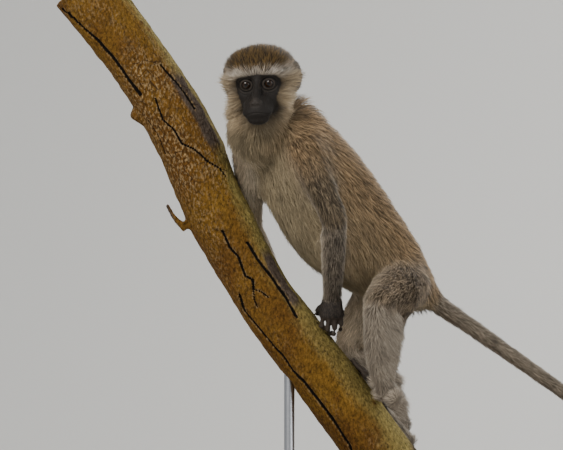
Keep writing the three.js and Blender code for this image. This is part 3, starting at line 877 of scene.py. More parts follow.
# %% Colours of the hair, as light given back by red, green and blue
# The root shade is darker than the rest of a lock: partly the hair's own banding, partly painted shade deep
# in the coat.
COLOURS = {  # name: (root, pale band, dark tip)
    "black": ((0.010, 0.008, 0.006), (0.022, 0.016, 0.012), (0.006, 0.005, 0.004)),
    "ear": ((0.025, 0.020, 0.017), (0.170, 0.140, 0.105), (0.025, 0.020, 0.017)),
    "crown": ((0.032, 0.019, 0.005), (0.180, 0.103, 0.026), (0.017, 0.010, 0.004)),
    "cream": ((0.280, 0.200, 0.112), (0.560, 0.430, 0.270), (0.400, 0.285, 0.155)),
    "white": ((0.240, 0.195, 0.145), (0.660, 0.580, 0.480), (0.400, 0.340, 0.260)),
    "back": ((0.122, 0.080, 0.041), (0.445, 0.290, 0.145), (0.105, 0.068, 0.035)),
    # Throat: darker hair under the chin and down the front of the neck, as painted shade under the jaw.
    "throat": ((0.105, 0.078, 0.042), (0.290, 0.225, 0.132), (0.130, 0.096, 0.053)),
    "bib": ((0.165, 0.124, 0.068), (0.380, 0.300, 0.182), (0.190, 0.140, 0.077)),
    "belly": ((0.200, 0.152, 0.085), (0.370, 0.292, 0.175), (0.250, 0.190, 0.108)),
    "upper_arm": ((0.080, 0.058, 0.035), (0.250, 0.186, 0.112), (0.062, 0.045, 0.028)),
    "forearm": ((0.092, 0.073, 0.053), (0.345, 0.278, 0.205), (0.066, 0.053, 0.040)),
    "thigh": ((0.108, 0.078, 0.048), (0.385, 0.282, 0.175), (0.085, 0.061, 0.038)),
    "shank": ((0.190, 0.152, 0.110), (0.470, 0.395, 0.305), (0.240, 0.192, 0.140)),
    # Inner side of the limbs: paler hair, raised further as painted light on sides that lie in the body's
    # shade.
    "inner": ((0.410, 0.330, 0.230), (0.740, 0.620, 0.460), (0.560, 0.460, 0.330)),
    "tail": ((0.125, 0.098, 0.068), (0.370, 0.300, 0.218), (0.120, 0.094, 0.066)),
    "tail_tip": ((0.050, 0.040, 0.030), (0.160, 0.130, 0.100), (0.040, 0.032, 0.025)),
}
weights = {name: np.zeros(COUNT) for name in COLOURS}
weights["black"] += face + np.isin(part_kind, ("hand", "foot")) * ~is_head * (1 - heel)
white = cheek * np.clip((U - 6) / 6, 0, 1) * np.clip((F + 22) / 14, 0, 1)
back_of_head = 0.6 * np.clip((-F - 30) / 25, 0, 1)
weights["crown"] += crown * (1 - back_of_head)
weights["back"] += crown * back_of_head
weights["ear"] += ears * 4.0
weights["white"] += white
# Below the cheeks the hair takes a darker tone, which is painted shade under the chin.
above_throat = np.clip((U + 60) / 12, 0, 1)
weights["cream"] += (cheek - white) * above_throat
weights["throat"] += (cheek - white) * (1 - above_throat)
body = (is_part["trunk"] | is_part["neck"]) & ~is_head
weights["back"] += body * back
chest = np.clip(1 - share / 0.28, 0, 1) * is_part["trunk"]
# The front of the neck takes the same painted shade under the chin.
weights["throat"] += body * (1 - back) * is_part["neck"]
back_or_belly = body * ~is_part["neck"]
weights["bib"] += back_or_belly * (1 - back) * chest
weights["belly"] += back_or_belly * (1 - back) * (1 - chest)
# The inner side of the arms and thighs is partly its own paler colour and partly painted light.
inner = np.clip(0.25 - outward, 0, 1)
for kind in ("upper_arm", "forearm", "thigh"):
    mine = (part_kind == kind) & ~is_head
    on_body = np.clip(1 - share / 0.42, 0, 1) * (kind == "upper_arm")
    weights["back"] += mine * (1 - inner) * on_body
    weights[kind] += mine * (1 - inner) * (1 - on_body)
    weights["inner"] += mine * inner
near_hand = (part_kind == "forearm") * np.clip((share - 0.62) / 0.38, 0, 1) * ~is_head
weights["black"] += 0.5 * near_hand
weights["shank"] += (part_kind == "shank") * ~is_head + heel
is_tail = np.isin(part_kind, ("tail", "tail_1")) & ~is_head
tip_share = is_part["tail_4"] * np.clip((share - 0.35) / 0.4, 0, 1)
weights["tail"] += is_tail * (1 - tip_share)
weights["tail_tip"] += is_tail * tip_share
soft = {name: smoothed(w, 3 if name in ("black", "white", "crown", "cream", "ear") else 9)
        for name, w in weights.items()}
total = sum(soft.values())
palette = np.array([COLOURS[name] for name in soft])  # colour name, shade, channel
shades = np.einsum("nv,nsc->vsc", np.array(list(soft.values())) / total, palette)
ticking = soft["crown"] + soft["back"] * 0.8 + soft["tail"] * 0.7
ticking += soft["upper_arm"] + soft["forearm"] + soft["thigh"]
print("shades:", shades.shape)

# %% [markdown]
# ## Shared shader groups
# A speckle of lighter and darker grains comes back in several finishes, so it is a group with
# named sockets, built once. The choice between two colours by a mask is a short function.

# %% The speckle group
speckle = bpy.data.node_groups.new("speckle", "ShaderNodeTree")
for socket, kind, value in (("Vector", "Vector", None), ("Scale", "Float", 200.0),
                            ("Amount", "Float", 0.3), ("Color", "Color", (0.5, 0.5, 0.5, 1))):
    made = speckle.interface.new_socket(socket, in_out="INPUT", socket_type="NodeSocket" + kind)
    if value is not None:
        made.default_value = value
for socket, kind in (("Color", "Color"), ("Mask", "Float")):
    speckle.interface.new_socket(socket, in_out="OUTPUT", socket_type="NodeSocket" + kind)
given = speckle.nodes.new("NodeGroupInput").outputs
make = maker(speckle)
grains = make("TexNoise", {"Vector": given["Vector"], "Scale": given["Scale"], "Detail": 3.0,
                           "Roughness": 0.62}).outputs["Fac"]
centred = make("Math", {0: grains, 1: 0.5}, operation="SUBTRACT").outputs[0]
strong = make("Math", {0: centred, 1: given["Amount"]}, operation="MULTIPLY").outputs[0]
factor = make("Math", {0: strong, 1: 4.0, 2: 1.0}, operation="MULTIPLY_ADD").outputs[0]
scaled = make("VectorMath", {0: given["Color"], "Scale": factor}, operation="SCALE").outputs[0]
fill(speckle.nodes.new("NodeGroupOutput"), {"Color": scaled, "Mask": grains})


# %% Short ways to common nodes
def mixed(make, first, second, mask):
    """A colour between two, each an output or plain numbers, by a mask."""
    first, second = ((*c, 1) if isinstance(c, tuple) else c for c in (first, second))
    return make("Mix", {6: first, 7: second, 0: mask}, data_type="RGBA").outputs[2]


def attribute(make, name, output="Fac"):
    return make("Attribute", {}, attribute_name=name).outputs[output]


def sharpened(make, value, low, high):
    """Zero below low, one above high."""
    return make("MapRange", {"Value": value, "From Min": low, "From Max": high}).outputs["Result"]


def speckled(make, vector, colour, scale, amount):
    sockets = {"Vector": vector, "Color": colour, "Scale": scale, "Amount": amount}
    node = make("Group", {}, node_tree=speckle)
    fill(node, sockets)
    return node.outputs["Color"]


def object_place(make, stretch=None, turn=(0, 0, 0)):
    """Object coordinates, stretched and turned if asked."""
    place = make("TexCoord", {}).outputs["Object"]
    if stretch is None:
        return place
    return make("Mapping", {"Vector": place, "Scale": stretch, "Rotation": turn}).outputs["Vector"]


def bump_of(make, height, strength, distance):
    sockets = {"Height": height, "Strength": strength, "Distance": distance}
    return make("Bump", sockets).outputs["Normal"]


def store(mesh, name, values):
    """Keep a number or a colour for each vertex under a name, for a material to read."""
    values = np.asarray(values, np.float32)
    if values.ndim == 1:
        mesh.attributes.new(name, "FLOAT", "POINT").data.foreach_set("value", values)
    else:
        values = np.column_stack([values, np.ones(len(values), np.float32)])
        mesh.attributes.new(name, "FLOAT_COLOR", "POINT").data.foreach_set("color", values.ravel())

# %% [markdown]
# ## Locks of hair
# Particle hair would vanish in the exported model, so the coat is solid mesh: about a hundred
# thousand thin tapering locks. Each lock is a three-sided prism with a closed root and a
# pointed tip. It leaves the skin at its root, bends over and lies along the coat. Roots are
# spread evenly: many candidates are thrown on the skin and only one is kept in each small cell.
# The locks are joined from arrays, because a hundred thousand separate operator calls would
# take hours.

# %% Spread the roots
rng = np.random.default_rng(7)
corners = skin_points[skin_tris]
areas = np.linalg.norm(np.cross(corners[:, 1] - corners[:, 0], corners[:, 2] - corners[:, 0]), axis=1) / 2
tri_gap = spacing[skin_tris].mean(1) * MM
CANDIDATES = 3.0
bare = (head_distance(local) < 2) & (np.abs(np.linalg.norm(
    np.stack([F - 2, side_way - EYE_SIDE, U], 1), axis=1)) < EYE_RADIUS + 2.6)
bare |= (F > 36) & (side_way < 9) & (U > -27) & (U < -15)
palm = np.isin(part_kind, ("hand", "foot")) & ~is_head
palm &= share > np.where(part_kind == "foot", 0.36, 0.0)
bare |= palm & (share > np.where(part_kind == "foot", 0.50, 0.46))
keep = 1.0 - bare[skin_tris].any(1)
count = np.floor(areas / tri_gap**2 * CANDIDATES * keep + rng.random(len(areas))).astype(int)
of_tri = np.repeat(np.arange(len(areas)), count)
r1, r2 = np.sqrt(rng.random(len(of_tri))), rng.random(len(of_tri))
bary = np.stack([1 - r1, r1 * (1 - r2), r1 * r2], 1)
spots = np.einsum("nk,nkc->nc", bary, corners[of_tri])
cell_size = np.round(tri_gap[of_tri] / (0.1 * MM)) * 0.1 * MM * 1.13
cells = np.column_stack([np.floor(spots / cell_size[:, None]), np.round(cell_size / MM * 100)])
_, first = np.unique(cells.astype(np.int64), axis=0, return_index=True)
first = first[rng.permutation(len(first))]
roots, bary, of_tri = spots[first], bary[first], of_tri[first]
print("locks:", len(roots))


def at_roots(field):
    """A field of the skin, at the roots of the locks."""
    return np.einsum("nk,nk...->n...", bary, field[skin_tris[of_tri]])


# %% Shape of each lock
root_normal = unit(at_roots(normals))
root_lie = at_roots(lie)
root_lie = unit(root_lie - root_normal * np.sum(root_lie * root_normal, 1)[:, None])
root_side = np.cross(root_normal, root_lie)
number = len(roots)
sway = rng.normal(0, 0.13, number)
clump = noise_at(roots * 90.0)
sway += (0.20 + 0.20 * at_roots(trunk_like)) * clump
root_lie = unit(root_lie + sway[:, None] * root_side)
root_side = np.cross(root_normal, root_lie)
length = at_roots(hair_length) * MM * rng.uniform(0.70, 1.18, number)
height = at_roots(hair_height) * MM * rng.uniform(0.55, 1.10, number)
height = np.minimum(height, 0.85 * length)
reach = np.sqrt(np.maximum(length**2 - height**2, 0))
width = np.clip(at_roots(spacing) * 0.62, 0.45, 1.25) * MM * rng.uniform(0.75, 1.2, number)
curl = rng.normal(0, 0.09, number) * length
face_share = at_roots(face)
width *= 1 - 0.45 * face_share

# %% Bend, taper and close the locks
SHORT_STATIONS, LONG_STATIONS = (0.0, 0.45), (0.0, 0.30, 0.68)  # shares of the length before the tip
TAPER = {0.0: 0.70, 0.30: 1.0, 0.45: 0.95, 0.68: 0.72}
PRISM = [(math.cos(a), math.sin(a)) for a in np.radians((90, 210, 330))]
LONG_FROM = 16.5 * MM  # longer locks get one station more
LIFT_POWER = 1.9  # how soon a lock bends over
ROOT_DEPTH = 0.35  # millimetres
FLATNESS = 0.6  # a lock's thickness as a share of its width


def lock_spine(t, chosen):
    """The middle line of the chosen locks at share t of their length."""
    rise = 1 - (1 - t) ** LIFT_POWER
    bend = curl[chosen] * t * t
    return (
        roots[chosen] - root_normal[chosen] * ROOT_DEPTH * MM
        + root_lie[chosen] * (reach[chosen] * t)[:, None]
        + root_normal[chosen] * (height[chosen] * rise)[:, None]
        + root_side[chosen] * bend[:, None]
    )


# %% Colour of each lock, from root to tip
root_shades = at_roots(shades)
tick = at_roots(ticking)
band = rng.random(number)
grainy = 0.26 * noise_at(roots * 55.0) + (0.25 + 0.35 * tick) * noise_at(roots * 230.0)
bright = rng.normal(1.0, 0.16, number) * (1 + grainy)
bright = np.clip(bright, 0.35, 1.9)
pale_tip = (band < 0.45)[:, None]
dark_tip = ((band > 0.72 - 0.14 * tick) & (rng.random(number) < tick))[:, None]
tip_colour = np.where(dark_tip, root_shades[:, 2], np.where(pale_tip, root_shades[:, 1],
                      0.5 * (root_shades[:, 1] + root_shades[:, 2])))

# %% [markdown]
# ## Coat pieces and their unwraps
# Locks are grouped by the part they grow on, so that no piece is too large. Each piece has a
# UV map named OFBake. The skin under it is unrolled by the way it faces and by its share of the
# part's length, and each lock is a tiny patch at the place of its root, so that a baked picture
# keeps every lock's colour.

# %% Which piece a lock belongs to, and its root's place on the unrolled skin
root_label = label[skin_tris[of_tri, 0]]
root_head = is_head[skin_tris[of_tri, 0]]
root_part = np.array(flesh_names)[root_label]
root_share = at_roots(share)
root_local = to_head(roots)
TRUNK_PIECES = 4
PATCH = 0.003  # a lock's share of the unwrap's side
trunk_piece = np.clip((root_share * TRUNK_PIECES).astype(int), 0, TRUNK_PIECES - 1)
PIECE_OF = {
    "upper_arm": "upper_arms", "forearm": "forearms", "hand": "forearms", "thigh": "thighs",
    "shank": "shanks", "foot": "shanks", "tail": "tail", "tail_1": "tail", "neck": "neck",
}
piece = np.array([PIECE_OF.get(kind_of(name), "trunk") for name in root_part], dtype=object)
in_trunk = piece == "trunk"
piece[in_trunk] = np.array([f"trunk_{k + 1}" for k in trunk_piece[in_trunk]], dtype=object)
piece[root_head] = "cheeks"
piece[root_head & (at_roots(crown) > 0.5)] = "crown"
piece[root_head & (face_share > 0.5)] = "face"


def unrolled(name, chosen):
    """Places in the unit square: the way the skin faces, and how far along the part it is."""
    if name in ("crown", "cheeks", "face"):
        q = root_local[chosen] - (-20, 0, -4)
        around = np.arctan2(q[:, 1], q[:, 0]) if name != "crown" else np.arctan2(q[:, 1], -q[:, 0])
        up = np.arctan2(q[:, 2], np.hypot(q[:, 0], q[:, 1]))
        return around / math.tau + 0.5, up / math.pi + 0.5
    offset = root_normal[chosen]
    across = offset @ body_left
    over = offset @ body_back
    around = np.arctan2(across, over) / math.tau + 0.5
    if name.startswith("trunk"):
        k = int(name[-1]) - 1
        return around, np.clip(root_share[chosen] * TRUNK_PIECES - k, 0, 1)
    slots = sorted({n for n in root_part[chosen]})
    strip = np.array([slots.index(n) for n in root_part[chosen]])
    return (around + strip) / len(slots), np.clip((root_share[chosen] + 0.25) / 1.6, 0, 1)


# %% Hair material
hair_material, shader, make = start_material("coat_hair", 0.72, 0.28)
fill(shader, {"Sheen Weight": 0.12, "Sheen Roughness": 0.5, "Base Color": attribute(make, "hair", "Color")})


# %% Corners, colours and triangles of some locks
def lock_mesh(name, chosen, stations):
    """Points, soft normals, colours, places in the unwrap and triangles, for locks of a piece."""
    rings, soft_normals, shares = [], [], []
    for t in stations:
        spine = lock_spine(t, chosen)
        half = (width[chosen] * TAPER[t] / 2)[:, None]
        for side, up in PRISM:
            spoke = root_side[chosen] * side + root_normal[chosen] * up * FLATNESS
            rings.append(spine + spoke * half)
            soft_normals.append(unit(spoke * 0.55 + root_normal[chosen]))
            shares.append(np.full(len(chosen), t))
    rings.append(lock_spine(1.0, chosen))
    soft_normals.append(unit(root_normal[chosen] + 0.3 * root_lie[chosen]))
    shares.append(np.ones(len(chosen)))
    per = 3 * len(stations) + 1
    last = per - 4
    faces = [(2, 1, 0)] + [(last + k, last + (k + 1) % 3, per - 1) for k in range(3)]
    for ring in range(len(stations) - 1):
        for k in range(3):
            a, b = 3 * ring + k, 3 * ring + (k + 1) % 3
            faces += [(a, b, b + 3), (a, b + 3, a + 3)]
    tris = (np.array(faces)[None] + (per * np.arange(len(chosen)))[:, None, None]).reshape(-1, 3)
    shares, owner = np.stack(shares, 1).ravel(), np.repeat(chosen, per)
    # Towards the root a lock darkens, partly by its banding and partly as painted shade deep in the coat.
    mix = np.clip(shares / 0.75, 0, 1)[:, None] ** 0.8
    colours = (root_shades[owner, 0] * (1 - mix) + tip_colour[owner] * mix) * bright[owner, None]
    places = np.clip(np.repeat(np.column_stack(unrolled(name, chosen)), per, axis=0), 0.002, 0.998)
    turn = np.tile(np.arange(per) % 3, len(chosen))
    places += np.column_stack([(turn - 1) / 2, shares - 0.5]) * PATCH
    points, soft_normals = (np.stack(rows, 1).reshape(-1, 3) for rows in (rings, soft_normals))
    return points, soft_normals, np.clip(colours, 0.002, 0.95), places, tris


# %% Build the coat
coat_triangles = 0
for name in sorted(set(piece)):
    chosen = np.flatnonzero(piece == name)
    long = length[chosen] > LONG_FROM
    kinds = ((chosen[~long], SHORT_STATIONS), (chosen[long], LONG_STATIONS))
    made = [lock_mesh(name, some, stations) for some, stations in kinds if len(some)]
    points, soft_normals, colours, places = (np.concatenate(rows) for rows in list(zip(*made))[:4])
    starts = np.cumsum([0] + [len(m[0]) for m in made[:-1]])
    tris = np.concatenate([m[4] + s for m, s in zip(made, starts)])
    mesh = bpy.data.meshes.new("coat_" + name)
    mesh.vertices.add(len(points))
    place_vertices(mesh, points)
    mesh.loops.add(tris.size)
    mesh.loops.foreach_set("vertex_index", tris.astype(np.int32).ravel())
    mesh.polygons.add(len(tris))
    mesh.polygons.foreach_set("loop_start", np.arange(0, tris.size, 3, dtype=np.int32))
    mesh.update(calc_edges=True)
    mesh.polygons.foreach_set("use_smooth", np.ones(len(tris), bool))
    store(mesh, "hair", colours)
    uv = mesh.uv_layers.new(name="OFBake")
    uv.data.foreach_set("uv", places[tris.ravel()].astype(np.float32).ravel())
    mesh.normals_split_custom_set_from_vertices(soft_normals)
    mesh.materials.append(hair_material)
    tufts = show("coat_" + name, mesh)
    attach(tufts, "root")
    coat_triangles += len(tris)
    print(tufts.name, len(chosen), "locks", len(tris), "triangles")
print("coat:", coat_triangles, "triangles")

# %% [markdown]
# ## Skin material
# The skin carries the same markings as the hair over it, a little darker as painted shade deep in
# the coat, so that no bare ground shines between the locks. On the face, hands, feet and ears it is
# near black, with painted shade round the eyes and a painted highlight on the tip of the nose.

# %% Skin colour and material
skin.data.polygons.foreach_set("use_smooth", [True] * len(skin.data.polygons))
# The skin takes the root shade of the hair, darkened further as painted shade deep in the coat.
ground = shades[:, 0] * 0.75 + shades[:, 2] * 0.15
dark = smoothed(np.clip(face + palm + ears, 0, 1), 1)[:, None]
dark_tone = np.where(palm[:, None], (0.048, 0.035, 0.026), (0.016, 0.012, 0.009))
ground = ground * (1 - dark) + dark_tone * dark
lid_ring = np.hypot(side_way - EYE_SIDE, U * 1.15)
lid_rim = np.exp(-np.square((lid_ring - 7.3) / 0.8)) + 0.5 * np.exp(-np.square((lid_ring - 11.2) / 0.9))
lid_rim = (np.clip(lid_rim, 0, 1) * (F > 3) * is_head)[:, None]
# Painted shade: the skin round the eyes is darkened, as in the shadow under the brow.
socket = np.clip((15 - lid_ring) / 5, 0, 1) * (F > -6) * is_head
ground = ground * (1 - 0.6 * socket[:, None])
ground = ground * (1 - lid_rim) + np.array([0.050, 0.036, 0.025]) * lid_rim
# The tip of the nose is lighter and glossier: the gloss is real, the lighter colour is a painted highlight.
nose = np.clip(1.5 - ellipsoid(np.stack([F, side_way, U], 1), (37, 0, -20), (7, 7, 4.5)) / 2, 0, 1) * is_head
nose = np.clip(nose * (F > 26), 0, 1) * 0.35
store(skin.data, "marking", ground)
store(skin.data, "nose", nose)
skin_material, shader, make = start_material("skin", 0.55, 0.25)
coordinates = object_place(make)
nose_highlight_mask = attribute(make, "nose")
colour = speckled(make, coordinates, attribute(make, "marking", "Color"), 700, 0.35)
# Painted highlight: a lighter grey on the tip of the nose.
colour = mixed(make, colour, (0.070, 0.056, 0.046), nose_highlight_mask)
wrinkles = make("TexNoise", {"Vector": coordinates, "Scale": 480.0, "Detail": 4.0, "Distortion": 1.2})
pores = make("TexVoronoi", {"Vector": coordinates, "Scale": 900.0})
relief = make("Math", {0: pores.outputs["Distance"], 1: 0.6, 2: wrinkles.outputs["Fac"]},
              operation="MULTIPLY_ADD").outputs[0]
gloss = make("MapRange", {"Value": nose_highlight_mask, "To Min": 0.62, "To Max": 0.40}).outputs["Result"]
fill(shader, {"Base Color": colour, "Normal": bump_of(make, relief, 0.6, 0.0007), "Roughness": gloss})
skin.data.materials.clear()
skin.data.materials.append(skin_material)
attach(skin, "root")
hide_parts(*flesh_names)
print("skin:", triangle_count(skin), "triangles")

# %% [markdown]
# ## The branch
# The branch of a fever tree has thin powdery bark, golden to yellow-green, split by long black
# cracks, with grey plates where the old bark holds on. The solid is remeshed and smoothed, the
# bark is laid out by share of the branch's length and by the angle round it, and the skin of
# the mesh is split finer along the cracks, so they stay sharp.

# %% A smooth branch
branch = add_object("branch_bark", welded_copy("branch"))
remesh = branch.modifiers.new("even", "REMESH")
remesh.mode = "VOXEL"
remesh.voxel_size = 2.8 * MM
calm = branch.modifiers.new("calm", "SMOOTH")
calm.factor = 0.5
calm.iterations = 10
apply_modifiers(branch)
print("branch:", len(branch.data.vertices), "vertices")

# %% The line through its middle
bark_points = points_of(branch.data)
low, high = corners_of("branch")
chord = unit(np.array([high[0] - low[0], 0, low[2] - high[2]]))
BINS = 40
step = (bark_points - bark_points.mean(0)) @ chord
bins = np.clip(((step - step.min()) / np.ptp(step) * BINS).astype(int), 0, BINS - 1)
near_line = np.ones(len(bark_points), bool)
for _ in range(2):
    middle = np.array([bark_points[near_line & (bins == k)].mean(0) for k in range(2, BINS - 2)])
    gap_to_line = np.linalg.norm(bark_points[:, None] - middle[None, ::3], axis=2).min(1)
    near_line = gap_to_line < 50 * MM
first_step, last_step = unit(middle[0] - middle[2]), unit(middle[-1] - middle[-3])
middle = np.vstack([middle[0] + first_step * 60 * MM, middle, middle[-1] + last_step * 60 * MM])
fine_line = np.array([
    [np.interp(t, np.arange(len(middle)), middle[:, k]) for k in range(3)]
    for t in np.linspace(0, len(middle) - 1, 240)
])
run = np.concatenate([[0], np.cumsum(np.linalg.norm(np.diff(fine_line, axis=0), axis=1))])
BARK_RADIUS = float(high[1] - low[1]) / 2
upper_end, lower_end = np.array([low[0], 0, high[2]]), np.array([high[0], 0, low[2]])


def on_bark(points):
    """Share of the length, angle round the branch and way out, for points on the bark."""
    nearest = np.empty(len(points), int)
    for some in np.array_split(np.arange(len(points)), 20):
        nearest[some] = np.linalg.norm(points[some, None] - fine_line[None], axis=2).argmin(1)
    before, after = np.maximum(nearest - 1, 0), np.minimum(nearest + 1, len(fine_line) - 1)
    tangent = unit(fine_line[after] - fine_line[before])
    out = points - fine_line[nearest]
    out -= tangent * np.sum(out * tangent, 1)[:, None]
    front = np.array([0.0, -1.0, 0.0])
    upper = unit(np.cross(tangent, np.broadcast_to(front, tangent.shape)))
    upper = np.where(upper[:, :1] < 0, -upper, upper)
    angle = np.degrees(np.arctan2(np.sum(out * upper, 1), out @ front))
    span = run[nearest]
    ends = [np.linalg.norm(fine_line - end, axis=1).argmin() for end in (upper_end, lower_end)]
    return (span - run[ends[0]]) / (run[ends[1]] - run[ends[0]]), angle, out


# %% Cracks, plates and knots, by share of the length and degrees round the branch
BRANCH_LENGTH = 752.0  # millimetres
ARC = 40.0  # millimetres over the bark for a turn of one radian
CRACKS = {  # each a run of (share, degrees), with its width in millimetres
    "long_upper": ([(0.0, -84), (0.05, -56), (0.11, -40), (0.15, -37), (0.19, -38), (0.225, -33)], 2.3),
    "broken": ([(0.244, -11), (0.279, -20), (0.306, -10), (0.33, -9), (0.346, 5), (0.373, 21),
                (0.40, 50)], 1.0),
    "plate_upper": ([(0.203, 37), (0.233, 42), (0.263, 47), (0.29, 47)], 1.5),
    "zigzag": ([(0.494, -6), (0.518, -11), (0.541, -5), (0.573, -12), (0.585, -2), (0.60, -11)], 1.4),
    "plate_lower": ([(0.527, 25), (0.56, 27), (0.60, 35), (0.64, 37), (0.676, 32)], 1.7),
    "long_lower": ([(0.596, -46), (0.62, -57), (0.666, -48), (0.724, -41), (0.775, -35), (0.845, -33),
                    (0.91, -40), (0.97, -37)], 1.9),
    "fork_a": ([(0.60, -11), (0.612, -20), (0.625, -24)], 0.7),
    "fork_b": ([(0.60, -9), (0.61, 1), (0.622, 6)], 0.7),
    "edge_nicks": ([(0.27, -52), (0.297, -47), (0.333, -52)], 0.9),
}
TURNED = ((143, 0.06), (-128, -0.05))  # the same cracks again on the far sides
# Plates of old bark: from and to by share, then the middle and half width in degrees. Knots:
# share, degrees and size in millimetres.
PLATES = [((0.218, 0.37), (50, 17)), ((0.545, 0.672), (50, 14)),
          ((0.70, 0.86), (-140, 26)), ((0.10, 0.30), (160, 24))]
KNOTS = [(0.781, -31, 4.5), (0.823, -3, 5), (0.467, 0, 3.6), (0.868, 58, 4), (0.13, 54, 4.5), (0.146, 62, 4),
         (0.55, 150, 6), (0.30, -150, 6)]


def wrapped(degrees):
    return (degrees + 180) % 360 - 180


def crack_gap(share_here, angle_here):
    """Millimetres to the edge of the nearest crack, negative inside it."""
    best = np.full(len(share_here), 9.0)
    x = share_here * BRANCH_LENGTH
    for turn, slide in ((0, 0.0), *TURNED):
        for stations, half in CRACKS.values():
            for (s1, a1), (s2, a2) in zip(stations, stations[1:]):
                y = np.radians(wrapped(angle_here - a1 - turn)) * ARC
                dx, dy = (s2 - s1) * BRANCH_LENGTH, math.radians(a2 - a1) * ARC
                px = x - (s1 + slide) * BRANCH_LENGTH
                t = np.clip((px * dx + y * dy) / (dx * dx + dy * dy), 0, 1)
                best = np.minimum(best, np.hypot(px - t * dx, y - t * dy) - half)
    return best


# %% Split the mesh along the cracks
for reach in (3.0, 1.6):
    split_where(branch, crack_gap(*on_bark(points_of(branch.data))[:2]) < reach)
print("branch split:", triangle_count(branch), "triangles")

# %% Raise the bark
bark_points = points_of(branch.data)
bark_share, bark_angle, bark_out = on_bark(bark_points)
bark_reach = np.linalg.norm(bark_out, axis=1) / BARK_RADIUS
bark_normals = rows_of(branch.data.vertices, "normal", 3).astype(float)
end_cut = (np.abs(bark_normals @ chord) > 0.75) & ((bark_share < 0.03) | (bark_share > 0.97))
stub = np.clip((bark_reach - 1.16) / 0.08, 0, 1)
gap_to_crack = crack_gap(bark_share, bark_angle) + 9 * stub
crack = np.clip((1.0 - gap_to_crack) / 1.6, 0, 1)
plate = np.zeros(len(bark_points))
for (s1, s2), (middle_angle, half) in PLATES:
    along_plate = np.clip(np.minimum(bark_share - s1, s2 - bark_share) / 0.02, 0, 1)
    sheet = np.column_stack([bark_share * 40, bark_angle * 0.05, np.full(len(bark_share), 3.0)])
    ragged = 4 * noise_at(sheet)
    across = half - np.abs(wrapped(bark_angle - middle_angle)) + ragged
    plate = np.maximum(plate, along_plate * np.clip(across / 3, 0, 1))
knot = np.zeros(len(bark_points))
for s, a, size in KNOTS:
    gap = np.hypot((bark_share - s) * BRANCH_LENGTH, np.radians(wrapped(bark_angle - a)) * ARC) / size
    knot = np.maximum(knot, np.exp(-gap * gap))
stretched = bark_points / MM
stretched = stretched - chord * (stretched @ chord)[:, None] * 0.62
broad_noise = np.array([noise.fractal(Vector(p * 0.035), 1.0, 2.0, 3) for p in stretched])
flake_noise = noise_at(stretched * 0.22)
# A pale powdery band runs along the upper edge of the branch as seen from the camera: partly the bark's own
# powder, partly painted rim light.
rim_from = 42 - 34 * np.clip((bark_share - 0.35) / 0.3, 0, 1)
rim = np.clip((bark_angle - rim_from + 16 * flake_noise + 14 * broad_noise) / 26, 0, 1)
rim *= np.clip(1.25 - np.abs(bark_angle - 80) / 75, 0, 1)
lift = 1.2 * broad_noise + 0.8 * flake_noise + 1.0 * plate - 2.6 * crack + 1.3 * knot
lift -= 2.2 * np.clip(knot - 0.65, 0, 1)
dusty = np.clip(np.minimum(bark_share - 0.13, 0.47 - bark_share) / 0.07, 0, 1)
dusty = np.clip(0.12 + 0.8 * dusty + 0.6 * broad_noise, 0, 1)
lift = np.where(end_cut, 0.25 * flake_noise, lift * (1 - 0.6 * stub))
bark_points = bark_points + bark_normals * (lift * MM)[:, None]
place_vertices(branch.data, bark_points)
branch.data.polygons.foreach_set("use_smooth", [True] * len(branch.data.polygons))
for name, values in {
    "crack_gap": gap_to_crack, "plate": plate, "rim": rim, "knot": knot, "stub": stub,
    "end_cut": end_cut, "reach": bark_reach, "dusty": dusty,
}.items():
    store(branch.data, name, values)
branch.data.update()
print("bark raised:", lift.min().round(1), lift.max().round(1))


# %% Bark material
OCHRE, UMBER = (0.170, 0.088, 0.014), (0.112, 0.050, 0.010)
DUSTY, POWDER_AND_RIM_LIGHT = (0.270, 0.175, 0.078), (0.235, 0.180, 0.055)
PLATE_GREY, CRACK_BLACK = (0.082, 0.060, 0.044), (0.006, 0.005, 0.004)
bark, shader, make = start_material("bark", 0.9, 0.12)
grain = object_place(make, (1, 1, 0.6), (0, math.atan2(chord[0], -chord[2]), 0))


def noise_mask(scale, detail, low, high):
    node = make("TexNoise", {"Vector": grain, "Scale": scale, "Detail": detail})
    return sharpened(make, node.outputs["Fac"], low, high), node.outputs["Fac"]


def math_of(operation, *values):
    return make("Math", dict(enumerate(values)), operation=operation).outputs[0]


def fine_net(scale, width):
    """Thin lines between irregular scales of bark."""
    cells = make("TexVoronoi", {"Vector": grain, "Scale": scale}, feature="DISTANCE_TO_EDGE")
    return sharpened(make, cells.outputs["Distance"], width, 0.0)


patches, _ = noise_mask(14, 6, 0.40, 0.62)
flakes, flake_height = noise_mask(360, 6, 0.50, 0.60)
specks, fine_height = noise_mask(650, 4, 0.60, 0.70)
dusty_mask = attribute(make, "dusty")
colour = mixed(make, OCHRE, UMBER, patches)
colour = mixed(make, colour, DUSTY, math_of("MULTIPLY", flakes, dusty_mask))
